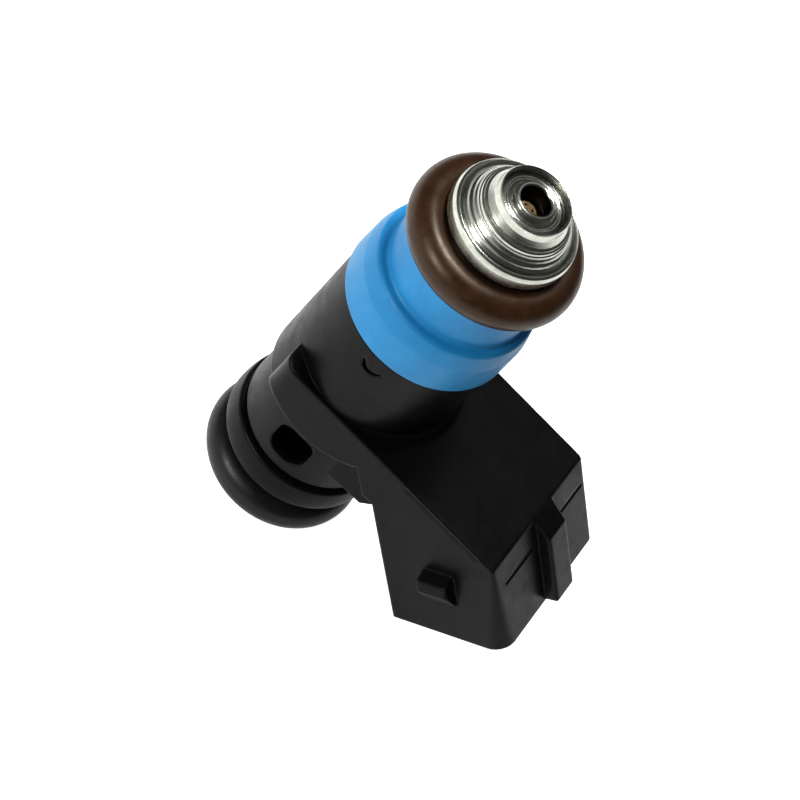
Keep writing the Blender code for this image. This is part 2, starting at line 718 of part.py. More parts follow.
def window_pair(turn):
    """A bar across the cage that cuts two opposite windows."""
    half = WINDOW_HALF_WIDTH
    outline = [
        (-half, WINDOW_TOP_Z),
        (half, WINDOW_TOP_Z),
        (half, WINDOW_BOTTOM_Z),
        (-half, WINDOW_BOTTOM_Z),
    ]
    bar = prism("filter_windows", outline, -4 * MM, 4 * MM)
    bar.rotation_euler.z = math.pi * turn / 2
    return bar


# Electrical terminals

def terminal_outline():
    """Side view of a terminal: a leg to the coil, a bar outwards and the blade."""
    half = BLADE_WIDTH / 2
    tip = 0.5 * MM
    outer_root = meet_level(BLADE_N + half, BAR_TOP_Z)
    inner_root = meet_level(BLADE_N - half, BAR_BOTTOM_Z)
    return [
        (LEG_IN_X, LEG_TOP_Z),
        (LEG_OUT_X, LEG_TOP_Z),
        (LEG_OUT_X, BAR_TOP_Z),
        outer_root,
        connector_point(BLADE_END_E - tip, BLADE_N + half),
        connector_point(BLADE_END_E, BLADE_N + half - tip),
        connector_point(BLADE_END_E, BLADE_N - half + tip),
        connector_point(BLADE_END_E - tip, BLADE_N - half),
        inner_root,
        (LEG_IN_X, BAR_BOTTOM_Z),
    ]


def meet_level(n, z):
    """Where the line at n in the connector's frame reaches the level z."""
    x_start, z_start = connector_point(0, n)
    e = (z - z_start) / E_DIR.z
    return (x_start + E_DIR.x * e, z)


def grown(outline, by):
    """The outline moved outwards by a distance, with its corners kept."""
    points = [Vector(p) for p in outline]
    area = sum(a.x * b.y - b.x * a.y for a, b in zip(points, points[1:] + points[:1]))
    way = 1 if area > 0 else -1
    result = []
    for before, here, after in zip(points[-1:] + points, points, points[1:] + points[:1]):
        one = (here - before).normalized()
        two = (after - here).normalized()
        normal_one = Vector((one.y, -one.x)) * way
        normal_two = Vector((two.y, -two.x)) * way
        corner = (normal_one + normal_two) / (1 + normal_one.dot(normal_two))
        moved = here + corner * by
        result.append((moved.x, moved.y))
    return result


def make_terminals(surface):
    for name, side in (("terminal_left", -1), ("terminal_right", 1)):
        y = side * TERMINAL_Y
        half = BLADE_THICKNESS / 2
        prism(name, terminal_outline(), y - half, y + half, surface)


def terminal_channel(side):
    """Room for one terminal in the overmould."""
    y = side * TERMINAL_Y
    half = BLADE_THICKNESS / 2 + REST_GAP
    return prism("terminal_channel", grown(terminal_outline(), REST_GAP), y - half, y + half)


# Overmould

def make_overmould(surface):
    """Black plastic moulded round the magnet, with the connector and its shoulder."""
    body = turned("overmould_body", overmould_profile(), OUTER_STEPS, surface)
    boolean(body, connector_block(), "UNION")
    boolean(body, gusset(), "UNION")
    boolean(body, key_rib(), "UNION")
    for side in (-1, 1):
        boolean(body, clip_lug(side), "UNION")
    boolean(body, magnet_bore(), "DIFFERENCE")
    boolean(body, socket_cutter(), "DIFFERENCE")
    for side in (-1, 1):
        boolean(body, terminal_channel(side), "DIFFERENCE")
        boolean(body, pin_hole(side), "DIFFERENCE")
    boolean(body, gate_dimple(), "DIFFERENCE")
    return body


def overmould_profile():
    """Outside of the turned part of the overmould, solid to the axis."""
    top = SHELL_BOTTOM_Z - REST_GAP
    return [
        (0, top),
        (BODY_R, top),
        (BODY_R, BODY_BOTTOM_Z),
        (NECK_R, BODY_BOTTOM_Z - 0.35 * MM),
        (NECK_R, GROOVE_Z + 0.25 * MM),
        (GROOVE_R, GROOVE_Z + 0.15 * MM),
        (GROOVE_R, GROOVE_Z - 0.15 * MM),
        (BAND_R - 0.25 * MM, GROOVE_Z - 0.25 * MM),
        (BAND_R, GROOVE_Z - 1.2 * MM),
        (BAND_R, OVERMOULD_END_Z + 0.3 * MM),
        (BAND_R - 0.3 * MM, OVERMOULD_END_Z),
        (0, OVERMOULD_END_Z),
    ]


def magnet_bore():
    """Stepped bore that holds the housing, the pole and the inlet tube."""
    outline = [
        (0, SHELL_BOTTOM_Z + MM),
        (HOUSING_R + REST_GAP, SHELL_BOTTOM_Z + MM),
        (HOUSING_R + REST_GAP, HOUSING_BOTTOM_Z - REST_GAP),
        (POLE_R + REST_GAP, HOUSING_BOTTOM_Z - REST_GAP),
        (POLE_R + REST_GAP, TUBE_STEP_Z),
        (INLET_R + REST_GAP, TUBE_STEP_Z),
        (INLET_R + REST_GAP, OVERMOULD_END_Z - MM),
        (0, OVERMOULD_END_Z - MM),
    ]
    return turned("magnet_bore", outline, OUTER_STEPS)


def connector_block():
    """Shoulder block and connector in one outline, notched between neck and connector."""
    corner = (CONNECTOR_CORNER.x, CONNECTOR_CORNER.z)
    mouth_out = connector_point(CONNECTOR_LENGTH, 0)
    mouth_in = connector_point(CONNECTOR_LENGTH, -CONNECTOR_DEPTH)
    throat = meet_level(-CONNECTOR_DEPTH, BLOCK_BOTTOM_Z)
    back_top = (BLOCK_BACK_X, shoulder_z(BLOCK_BACK_X))
    outline = [
        back_top,
        corner,
        mouth_out,
        mouth_in,
        throat,
        (throat[0] - 1.0 * MM, BLOCK_BOTTOM_Z),
        (CHEEK_X, CHEEK_Z),
        (CHEEK_X - 0.6 * MM, BLOCK_BOTTOM_Z),
        (BLOCK_BACK_X, BLOCK_BOTTOM_Z),
    ]
    block = prism("connector_block", outline, -CONNECTOR_HALF_WIDTH, CONNECTOR_HALF_WIDTH)

    def joins(a, b, start, end):
        ends = {(round(v.x, 6), round(v.z, 6)) for v in (a, b)}
        return ends == {(round(x, 6), round(z, 6)) for x, z in (start, end)}

    def left_edge(a, b):
        return joins(a, b, corner, mouth_out) and a.y < 0

    def right_edge(a, b):
        return joins(a, b, corner, mouth_out) and a.y > 0

    def inner_edge(a, b):
        return joins(a, b, mouth_in, throat)

    def back_edge(a, b):
        return joins(a, b, back_top, outline[-1])

    round_edges(block, left_edge, CONNECTOR_LEFT_ROUND, 4)
    round_edges(block, right_edge, CONNECTOR_RIGHT_ROUND, 3)
    round_edges(block, inner_edge, CONNECTOR_INNER_ROUND, 3)
    round_edges(block, back_edge, BLOCK_CORNER_ROUND, 3)
    boolean(block, block_cone(), "DIFFERENCE")
    return block


def block_cone():
    """What the coned lower edge takes off the block, round its back from cheek to cheek."""
    reach = 12 * MM
    below = BODY_BOTTOM_Z - MM
    top = BODY_BOTTOM_Z + BLOCK_CONE_HEIGHT
    outline = [
        (BODY_R - BLOCK_CONE_SLOPE * MM, below),
        (BODY_R + BLOCK_CONE_SLOPE * BLOCK_CONE_HEIGHT, top),
        (reach, top),
        (reach, below),
    ]
    start = math.atan2(CONNECTOR_HALF_WIDTH, CHEEK_X)
    bm = bmesh.new()
    face = bm.faces.new([bm.verts.new((r, 0, z)) for r, z in outline])
    bmesh.ops.rotate(bm, verts=bm.verts, matrix=Matrix.Rotation(start, 3, "Z"))
    bmesh.ops.spin(
        bm, geom=[face], cent=(0, 0, 0), axis=(0, 0, 1),
        angle=2 * (math.pi - start), steps=OUTER_STEPS * 2 // 3,
    )
    return finish_mesh(bm, "block_cone")


def gusset():
    """Web between the neck and the connector's inner face."""
    neck_x = 3.0 * MM
    inner = connector_point(0, MM - CONNECTOR_DEPTH)
    run = (inner[1] - GUSSET_BOTTOM_Z) / GUSSET_SLOPE
    outline = [
        (neck_x, GUSSET_TOP_Z),
        (inner[0], GUSSET_TOP_Z),
        inner,
        (GUSSET_START_X + run, inner[1]),
        (GUSSET_START_X, GUSSET_BOTTOM_Z),
        (neck_x, GUSSET_BOTTOM_Z),
    ]
    return prism("gusset", outline, -GUSSET_HALF_WIDTH, GUSSET_HALF_WIDTH)


def key_rib():
    """Rib on the outer face that stops the plug going in upside down."""
    sunk = -0.5 * MM
    outline = [
        connector_point(0.05 * MM, sunk),
        connector_point(0.05 * MM, 0.02 * MM),
        connector_point(RIB_LEAD, RIB_HEIGHT),
        connector_point(CONNECTOR_LENGTH - 0.25 * MM, RIB_HEIGHT),
        connector_point(CONNECTOR_LENGTH - 0.10 * MM, sunk),
    ]
    return prism("key_rib", outline, RIB_CENTRE_Y - RIB_HALF_WIDTH, RIB_CENTRE_Y + RIB_HALF_WIDTH)


def clip_lug(side):
    """Wedge that the plug's wire clip snaps over."""
    wall = CONNECTOR_HALF_WIDTH
    ramp = [
        (LUG_START_E, wall - 0.3 * MM),
        (LUG_START_E, wall + 0.02 * MM),
        (LUG_CREST_E, wall + LUG_ROOF_HEIGHT),
        (LUG_CREST_END_E, wall + LUG_HEIGHT),
        (LUG_END_E, wall + 0.02 * MM),
        (LUG_END_E, wall - 0.3 * MM),
    ]
    bm = bmesh.new()
    ends = []
    for n in (LUG_FROM_N, LUG_TO_N):
        ring = []
        for e, y in ramp:
            x, z = connector_point(e, n)
            ring.append(bm.verts.new((x, side * y, z)))
        ends.append(ring)
        bm.faces.new(ring)
    for i in range(len(ramp)):
        after = (i + 1) % len(ramp)
        bm.faces.new((ends[0][i], ends[0][after], ends[1][after], ends[1][i]))
    return finish_mesh(bm, "clip_lug")


def socket_cutter():
    """Hollow of the connector, open at the mouth."""
    near = -SOCKET_WALL
    far = SOCKET_WALL - CONNECTOR_DEPTH
    past_mouth = CONNECTOR_LENGTH + MM
    outline = [
        connector_point(SOCKET_FLOOR, near),
        connector_point(past_mouth, near),
        connector_point(past_mouth, far),
        connector_point(SOCKET_FLOOR, far),
    ]
    half = CONNECTOR_HALF_WIDTH - SOCKET_WALL
    hollow = prism("socket_hollow", outline, -half, half)

    def along_mouth(a, b):
        return abs((b - a).normalized().dot(E_DIR)) > 0.99

    round_edges(hollow, along_mouth, SOCKET_ROUND, 3)
    return hollow


def pin_hole(side):
    """Mould pin hole in the neck, with well rounded corners."""
    bm = bmesh.new()
    corner = PIN_HOLE_CORNER
    left = PIN_HOLE_MIDDLE_X - PIN_HOLE_HALF_WIDTH + corner
    right = PIN_HOLE_MIDDLE_X + PIN_HOLE_HALF_WIDTH - corner
    top = PIN_HOLE_TOP_Z - corner
    bottom = PIN_HOLE_BOTTOM_Z + corner
    points = arc(left, top, corner, 180, 90, 3)
    points += arc(right, top, corner, 90, 0, 3)
    points += arc(right, bottom, corner, 0, -90, 3)
    points += arc(left, bottom, corner, -90, -180, 3)
    face = bm.faces.new([bm.verts.new((x, side * PIN_HOLE_FLOOR_R, z)) for x, z in points])
    moved = bmesh.ops.extrude_face_region(bm, geom=[face])["geom"]
    top = [v for v in moved if isinstance(v, bmesh.types.BMVert)]
    bmesh.ops.translate(bm, verts=top, vec=(0, side * 4 * MM, 0))
    return finish_mesh(bm, "pin_hole")


def gate_dimple():
    """Shallow round dimple whose floor is tilted, deepest towards the inlet."""
    bm = bmesh.new()
    depth = 4 * MM
    bmesh.ops.create_cone(
        bm, cap_ends=True, segments=16, radius1=DIMPLE_R, radius2=DIMPLE_R, depth=depth,
    )
    lay_down = Matrix.Rotation(math.pi / 2 + DIMPLE_TILT, 4, "X")
    outwards = lay_down.to_3x3() @ Vector((0, 0, 1))
    place = Matrix.Translation(DIMPLE_CENTRE + outwards * (depth / 2 - DIMPLE_DEPTH / 2))
    bmesh.ops.transform(bm, matrix=place @ lay_down, verts=bm.verts)
    return finish_mesh(bm, "gate_dimple")


def make_surfaces():
    return {
        "black_plastic": material("black_plastic", (0.020, 0.021, 0.022), 0.55, 0),
        "blue_plastic": material("blue_plastic", (0.045, 0.33, 0.75), 0.45, 0),
        "brown_rubber": material("brown_rubber", (0.055, 0.024, 0.018), 0.45, 0),
        "black_rubber": material("black_rubber", (0.012, 0.012, 0.012), 0.50, 0),
        "bright_steel": material("bright_steel", (0.70, 0.70, 0.66), 0.20, 1),
        "steel": material("steel", (0.50, 0.50, 0.48), 0.35, 1),
        "copper": material("copper", (0.60, 0.22, 0.09), 0.35, 1),
        "brass": material("brass", (0.72, 0.55, 0.25), 0.30, 1),
        "tinned": material("tinned", (0.74, 0.73, 0.70), 0.28, 1),
        "spring_steel": material("spring_steel", (0.45, 0.45, 0.46), 0.30, 1),
        "bobbin_plastic": material("bobbin_plastic", (0.30, 0.27, 0.20), 0.50, 0),
        "filter_plastic": material("filter_plastic", (0.55, 0.50, 0.36), 0.50, 0),
        "mesh": material("mesh", (0.62, 0.60, 0.50), 0.60, 0),
    }


def build():
    clear_scene()
    surfaces = make_surfaces()
    make_overmould(surfaces["black_plastic"])
    make_terminals(surfaces["tinned"])
    make_nozzle_shell(surfaces["blue_plastic"])
    make_nozzle_collar(surfaces["bright_steel"])
    make_seals(surfaces)
    make_valve_body(surfaces["steel"])
    make_orifice_disc(surfaces["brass"])
    make_backup_washer(surfaces["steel"])
    make_valve_seat(surfaces["steel"])
    make_seat_o_ring(surfaces["black_rubber"])
    make_needle_guide(surfaces["bright_steel"])
    make_valve_ball(surfaces["bright_steel"])
    make_valve_needle(surfaces["steel"])
    make_armature(surfaces["steel"])
    make_return_spring(surfaces["spring_steel"])
    make_sleeves(surfaces)
    make_coil(surfaces)
    make_housing(surfaces)
    make_inlet_tube(surfaces["bright_steel"])
    make_adjusting_tube(surfaces["steel"])
    make_filter(surfaces)


build()
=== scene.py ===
"""Looks for the fuel injector: finer shapes, procedural materials, studio light and camera.

The moulded body is a signed distance field turned into a mesh, so that its edges and inner
corners are rounded as a mould rounds them. The turned pieces are finely spun profiles with
rounded corners. Shapes are worked out in millimetres and made in metres.
"""

import json
import math

import bmesh
import bpy
import numpy as np
from mathutils import Matrix, Vector


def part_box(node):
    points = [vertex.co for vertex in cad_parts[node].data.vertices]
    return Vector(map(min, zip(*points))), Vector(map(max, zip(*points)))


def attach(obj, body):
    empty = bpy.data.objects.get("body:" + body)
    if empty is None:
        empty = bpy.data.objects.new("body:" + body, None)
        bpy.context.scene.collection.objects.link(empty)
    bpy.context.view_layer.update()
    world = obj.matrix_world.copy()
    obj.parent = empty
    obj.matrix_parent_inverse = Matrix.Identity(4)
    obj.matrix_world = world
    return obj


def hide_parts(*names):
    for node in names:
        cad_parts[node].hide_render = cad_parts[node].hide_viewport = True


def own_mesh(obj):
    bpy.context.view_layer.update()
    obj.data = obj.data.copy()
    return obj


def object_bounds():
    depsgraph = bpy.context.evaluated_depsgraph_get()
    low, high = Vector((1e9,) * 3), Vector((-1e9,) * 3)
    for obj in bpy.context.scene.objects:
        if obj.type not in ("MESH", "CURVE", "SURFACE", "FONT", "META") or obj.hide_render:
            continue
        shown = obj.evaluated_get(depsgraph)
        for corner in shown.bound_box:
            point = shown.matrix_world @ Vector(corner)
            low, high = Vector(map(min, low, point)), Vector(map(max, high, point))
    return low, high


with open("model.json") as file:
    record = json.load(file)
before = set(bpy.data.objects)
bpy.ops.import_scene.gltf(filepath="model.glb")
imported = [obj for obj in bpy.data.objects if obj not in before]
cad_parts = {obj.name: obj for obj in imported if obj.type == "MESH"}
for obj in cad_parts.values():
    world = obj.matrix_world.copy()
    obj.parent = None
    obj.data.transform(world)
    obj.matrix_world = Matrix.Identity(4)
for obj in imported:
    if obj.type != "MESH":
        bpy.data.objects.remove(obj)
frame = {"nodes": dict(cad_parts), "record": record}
cad_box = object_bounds()

MM = 0.001
FIXED_BODY = "injector_body"

# Segments round a turned piece, and points on each rounded corner of its profile
TURN_STEPS = 192
CORNER_STEPS = 6

# Grid step of the moulded body's field
FIELD_STEP = 0.15

# Turned part of the moulded body: radii and levels
BODY_R = 7.19
NECK_R = 6.62
GROOVE_R = 5.95
BAND_R = 7.15
BODY_TOP_Z = -15.14
BODY_BOTTOM_Z = -29.53
GROOVE_Z = -36.05
BODY_END_Z = -39.00

# Stepped bore of the moulded body
HOUSING_BORE_R = 6.27
HOUSING_BORE_END_Z = -26.65
POLE_BORE_R = 3.05
TUBE_BORE_R = 3.75
TUBE_STEP_Z = -33.00

# Connector: e runs from the shoulder to the mouth, n leans out from its outer face
LEAN = math.radians(40.5)
E_X, E_Z = math.sin(LEAN), -math.cos(LEAN)
N_X, N_Z = math.cos(LEAN), math.sin(LEAN)
CORNER_X, CORNER_Z = 18.23, -24.88
CONNECTOR_LENGTH = 9.43
CONNECTOR_DEPTH = 11.07
HALF_WIDTH = 7.57
LEFT_ROUND = 1.9
RIGHT_ROUND = 0.35
INNER_ROUND = 0.4
EDGE_ROUND = 0.20
SOCKET_WALL = 1.35
SOCKET_FLOOR = 1.80

# Shoulder block
BLOCK_BACK_X = -5.40
BLOCK_BOTTOM_Z = BODY_BOTTOM_Z + 0.15
BACK_ROUND = 1.6
CONE_SLOPE = 0.70
SHOULDER_SLOPE = math.radians(3.4)
CHEEK_X, CHEEK_Z = 4.60, -27.20

# Web between the neck and the connector
GUSSET_HALF_WIDTH = 5.56
GUSSET_TOP_Z = -26.50
GUSSET_BOTTOM_Z = -33.25
GUSSET_START_X = 7.16
GUSSET_SLOPE = 1.27

# Key rib and clip lugs
RIB_CENTRE_Y = 0.76
RIB_HALF_WIDTH = 1.46
RIB_HEIGHT = 1.15
LUG_N = (-6.90, -4.10)
LUG_PROFILE = [(2.05, -1.0), (2.05, 0.0), (2.40, 1.22), (3.45, 1.38), (5.40, 0.12), (5.45, -1.0)]

# Mould pin holes in the neck
PIN_HOLE_X = -0.20
PIN_HOLE_HALF_WIDTH = 1.73
PIN_HOLE_Z = (-34.45, -30.50)
PIN_HOLE_FLOOR_R = 4.30

# Scar of the mould's gate on the body
GATE_X, GATE_Z = -0.15, -16.60
GATE_R = 0.92
GATE_OFFSET = 0.36

# Rings of painted shade in the nozzle cap's hollow and creases: their inner and outer radii
PAINTED_SHADE_RINGS = [(2.36, 2.82), (3.46, 3.62), (4.48, 4.74)]
PAINTED_SHADE_END_Z = -3.0

# Studio: the pale side of the room, and how bright it and the rest are
PALE_SIDE = (-0.62, -0.74, -0.26)
PALE_LEVEL = 0.70
DIM_LEVEL = 0.04

# Terminals
TERMINAL_Y = 2.50
BLADE_N = -5.45
BLADE_HALF_WIDTH = 1.40
BLADE_THICKNESS = 0.60


# Distances and the ways of joining them

def rounded_cut(a, b, radius):
    """What lies in both shapes, with the edge between them rounded."""
    over_a = np.maximum(a + radius, 0)
    over_b = np.maximum(b + radius, 0)
    return np.minimum(np.maximum(a, b), -radius) + np.hypot(over_a, over_b)


def filleted_join(a, b, radius):
    """What lies in either shape, with the inner corner between them filled."""
    return -rounded_cut(-a, -b, radius)


def drum(r, z, radius, low, high, edge):
    """A cylinder about the axis with rounded rims."""
    across = r - radius
    along = np.abs(z - (low + high) / 2) - (high - low) / 2
    return rounded_cut(across, along, edge)


def slab(value, low, high):
    return np.abs(value - (low + high) / 2) - (high - low) / 2


def polygon(px, py, corners):
    """Signed distance to a closed polygon, in its plane."""
    nearest = np.full(np.broadcast(px, py).shape, np.inf)
    inside = np.zeros(nearest.shape, bool)
    for (ax, ay), (bx, by) in zip(corners, corners[1:] + corners[:1]):
        edge_x, edge_y = bx - ax, by - ay
        along = ((px - ax) * edge_x + (py - ay) * edge_y) / (edge_x**2 + edge_y**2)
        along = np.clip(along, 0, 1)
        gap = np.hypot(px - ax - along * edge_x, py - ay - along * edge_y)
        nearest = np.minimum(nearest, gap)
        crosses = (ay > py) != (by > py)
        if edge_y:
            inside ^= crosses & (px < ax + (py - ay) * edge_x / edge_y)
    return np.where(inside, -nearest, nearest)


def inset(corners, by):
    """The polygon with every side moved inwards."""
    points = [Vector(c) for c in corners]
    ring = list(zip(points, points[1:] + points[:1]))
    way = 1 if sum(a.x * b.y - b.x * a.y for a, b in ring) > 0 else -1
    moved = []
    for before, here, after in zip(points[-1:] + points, points, points[1:] + points[:1]):
        one = (here - before).normalized()
        two = (after - here).normalized()
        normal_one = Vector((-one.y, one.x)) * way
        normal_two = Vector((-two.y, two.x)) * way
        place = here + (normal_one + normal_two) * by / (1 + normal_one.dot(normal_two))
        moved.append((place.x, place.y))
    return moved


def smooth_step(value, low, high):
    t = np.clip((value - low) / (high - low), 0, 1)
    return t * t * (3 - 2 * t)


# Moulded body

def connector_point(e, n):
    return (CORNER_X + E_X * e + N_X * n, CORNER_Z + E_Z * e + N_Z * n)


def connector_frame(x, z):
    dx, dz = x - CORNER_X, z - CORNER_Z
    return dx * E_X + dz * E_Z, dx * N_X + dz * N_Z


def meet_level(n, z):
    """Where the line at n in the connector's frame reaches the level z."""
    start_x, start_z = connector_point(0, n)
    e = (z - start_z) / E_Z
    return (start_x + E_X * e, z)


def shoulder_z(x):
    return CORNER_Z + (CORNER_X - x) * math.tan(SHOULDER_SLOPE)


def turned_outside(r, z):
    """Body, neck, groove and end band, solid to the axis."""
    main = drum(r, z, BODY_R, BODY_BOTTOM_Z, BODY_TOP_Z, 0.16)
    neck = drum(r, z, NECK_R, GROOVE_Z + 0.25, BODY_BOTTOM_Z + 1, 0.12)
    core = drum(r, z, GROOVE_R, GROOVE_Z - 1, GROOVE_Z + 1, 0.1)
    band = drum(r, z, BAND_R, BODY_END_Z, GROOVE_Z - 0.35, 0.2)
    lead = (r - BAND_R + (z - GROOVE_Z + 1.35) * 0.26) / math.hypot(1, 0.26)
    band = rounded_cut(band, lead, 0.3)
    shape = filleted_join(main, neck, 0.18)
    return np.minimum(np.minimum(shape, core), band)


def block_side_view(x, z):
    """Shoulder block and connector seen from the side, with its convex corners rounded."""
    throat_x = meet_level(-CONNECTOR_DEPTH, BLOCK_BOTTOM_Z)[0]
    corners = [
        (BLOCK_BACK_X, shoulder_z(BLOCK_BACK_X)),
        (CORNER_X, CORNER_Z),
        connector_point(CONNECTOR_LENGTH, 0),
        connector_point(CONNECTOR_LENGTH, -CONNECTOR_DEPTH),
        (throat_x, BLOCK_BOTTOM_Z),
        (throat_x - 1.0, BLOCK_BOTTOM_Z),
        (CHEEK_X, CHEEK_Z),
        (CHEEK_X - 0.6, BLOCK_BOTTOM_Z),
        (BLOCK_BACK_X, BLOCK_BOTTOM_Z),
    ]
    return polygon(x, z, inset(corners, EDGE_ROUND)) - EDGE_ROUND


def connector_block(x, y, z):
    """Block and connector: outer corners with their own rounds, back corners and coned edge."""
    e, n = connector_frame(x, z)
    side = np.abs(y) - HALF_WIDTH
    widening = 0.3 + (LEFT_ROUND - 0.3) * np.clip(e / CONNECTOR_LENGTH, 0, 1)
    outer_round = np.where(y < 0, widening, RIGHT_ROUND)
    bar = rounded_cut(side, n, outer_round)
    shape = rounded_cut(block_side_view(x, z), bar, EDGE_ROUND)
    inner = rounded_cut(side, -CONNECTOR_DEPTH - n, INNER_ROUND)
    shape = np.maximum(shape, np.minimum(inner, BLOCK_BOTTOM_Z - z))
    back = rounded_cut(side, BLOCK_BACK_X - x, BACK_ROUND)
    shape = rounded_cut(shape, back, 0.15)
    cone = (np.hypot(x, y) - BODY_R - CONE_SLOPE * (z - BODY_BOTTOM_Z)) / math.hypot(1, CONE_SLOPE)
    start = math.atan2(HALF_WIDTH, CHEEK_X)
    front = np.abs(y) * math.cos(start) - x * math.sin(start)
    return rounded_cut(shape, np.minimum(cone, front), 0.15)


def gusset(x, y, z):
    inner_x, inner_z = connector_point(0, 1 - CONNECTOR_DEPTH)
    run = (inner_z - GUSSET_BOTTOM_Z) / GUSSET_SLOPE
    corners = [
        (3.0, GUSSET_TOP_Z),
        (inner_x, GUSSET_TOP_Z),
        (inner_x, inner_z),
        (GUSSET_START_X + run, inner_z),
        (GUSSET_START_X, GUSSET_BOTTOM_Z),
        (3.0, GUSSET_BOTTOM_Z),
    ]
    return rounded_cut(polygon(x, z, corners), np.abs(y) - GUSSET_HALF_WIDTH, 0.2)


def key_rib(x, y, z):
    e, n = connector_frame(x, z)
    corners = [
        (0.05, -1.0),
        (0.05, 0.02),
        (2.0, RIB_HEIGHT),
        (CONNECTOR_LENGTH - 0.25, RIB_HEIGHT),
        (CONNECTOR_LENGTH - 0.10, -1.0),
    ]
    side_view = polygon(e, n, inset(corners, 0.2)) - 0.2
    draft = 0.04 * np.maximum(n, 0)
    return rounded_cut(side_view, np.abs(y - RIB_CENTRE_Y) - RIB_HALF_WIDTH + draft, 0.25)


def clip_lugs(x, y, z):
    """Wedges on both sides that the plug's wire clip snaps over."""
    e, n = connector_frame(x, z)
    out = np.abs(y) - HALF_WIDTH
    ramp = polygon(e, out, inset(LUG_PROFILE, 0.12)) - 0.12
    return rounded_cut(ramp, slab(n, *LUG_N), 0.12)


def stepped_bore(r, z):
    housing = np.maximum(r - HOUSING_BORE_R, HOUSING_BORE_END_Z - z)
    tube = np.maximum(r - TUBE_BORE_R, z - TUBE_STEP_Z)
    return np.minimum(np.minimum(housing, tube), r - POLE_BORE_R)


def socket(x, y, z):
    """Hollow of the connector, with rounded corners."""
    e, n = connector_frame(x, z)
    wide = np.abs(y) - (HALF_WIDTH - SOCKET_WALL)
    tall = slab(n, SOCKET_WALL - CONNECTOR_DEPTH, -SOCKET_WALL)
    return rounded_cut(rounded_cut(wide, tall, 0.8), SOCKET_FLOOR - e, 0.35)


def terminal_slots(x, y, z):
    half = BLADE_HALF_WIDTH + 0.05
    corners = [
        (3.95, -25.5),
        (4.65, -25.5),
        (4.65, -27.15),
        meet_level(BLADE_N + half, -27.15),
        connector_point(3.0, BLADE_N + half),
        connector_point(3.0, BLADE_N - half),
        meet_level(BLADE_N - half, -28.65),
        (3.95, -28.65),
    ]
    across = np.abs(np.abs(y) - TERMINAL_Y) - BLADE_THICKNESS / 2 - 0.05
    return np.maximum(polygon(x, z, corners), across)


def pin_holes(x, y, z):
    """Mould pin holes in the neck, on both sides."""
    outline = rounded_cut(np.abs(x - PIN_HOLE_X) - PIN_HOLE_HALF_WIDTH, slab(z, *PIN_HOLE_Z), 1.3)
    return rounded_cut(outline, PIN_HOLE_FLOOR_R - np.abs(y), 0.25)


def gate_scar(x, y, z):
    """Round scar of the mould's gate: a shallow disc with a deep crescent on its inlet side."""
    across = x - GATE_X
    disc = np.hypot(across, z - GATE_Z) - GATE_R
    crescent = np.maximum(disc, GATE_R - np.hypot(across - 0.05, z - GATE_Z - GATE_OFFSET))
    outside = y + math.sqrt(BODY_R**2 - GATE_X**2)
    return np.minimum(np.maximum(disc, outside - 0.02), np.maximum(crescent, outside - 0.75))


def face_grooves(x, y, z):
    """Fine lines across the outer face, on each side of the key rib."""
    e, n = connector_frame(x, z)
    line = rounded_cut(np.abs(e - 2.6) - 0.13, -0.16 - n, 0.05)
    left = slab(y, -6.0, -1.35)
    right = slab(y, 3.05, 6.9)
    return np.maximum(line, np.minimum(left, right))


def parting_line(x, y, z):
    """Trace of the mould's joint under the edge of the shoulder, on one side."""
    level = np.abs(z - shoulder_z(x) + 0.42) - 0.10
    return np.maximum(np.maximum(level, slab(x, 8.4, 16.6)), y + HALF_WIDTH - 0.10)


def moulded_field(x, y, z):
    """Signed distance, in millimetres, to the moulded body."""
    r = np.hypot(x, y)
    turned = turned_outside(r, z)
    block = connector_block(x, y, z)
    above = smooth_step(z - shoulder_z(x), -0.5, 0.0)
    fillet = (0.05 + 0.9 * smooth_step(x, 1.0, 7.0)) * above
    shape = filleted_join(turned, block, fillet)
    shape = filleted_join(shape, gusset(x, y, z), 0.12)
    shape = filleted_join(shape, key_rib(x, y, z), 0.12)
    shape = np.minimum(shape, clip_lugs(x, y, z))
    shape = np.maximum(shape, -stepped_bore(r, z))
    shape = rounded_cut(shape, -socket(x, y, z), 0.2)
    shape = np.maximum(shape, -terminal_slots(x, y, z))
    shape = rounded_cut(shape, -pin_holes(x, y, z), 0.1)
    shape = np.maximum(shape, -gate_scar(x, y, z))
    shape = np.maximum(shape, -face_grooves(x, y, z))
    return np.maximum(shape, -parting_line(x, y, z))


# Field to mesh

def cell_corners():
    return [(i, j, k) for i in (0, 1) for j in (0, 1) for k in (0, 1)]


def corner_values(values, corner):
    """The grid's values at one corner of every cell."""
    window = tuple(slice(c, n - 1 + c) for c, n in zip(corner, values.shape))
    return values[window]


def cell_points(values, active):
    """One point in each active cell: the mean of where its edges cross zero."""
    total = np.zeros((int(active.sum()), 3))
    count = np.zeros(len(total))
    for start in cell_corners():
        for axis in range(3):
            if start[axis]:
                continue
            end = tuple(1 if a == axis else c for a, c in enumerate(start))
            one = corner_values(values, start)[active]
            two = corner_values(values, end)[active]
            crossed = (one < 0) != (two < 0)
            place = np.tile(np.array(start, float), (len(one), 1))
            place[crossed, axis] = one[crossed] / (one[crossed] - two[crossed])
            total[crossed] += place[crossed]
            count[crossed] += 1
    return total / count[:, None]


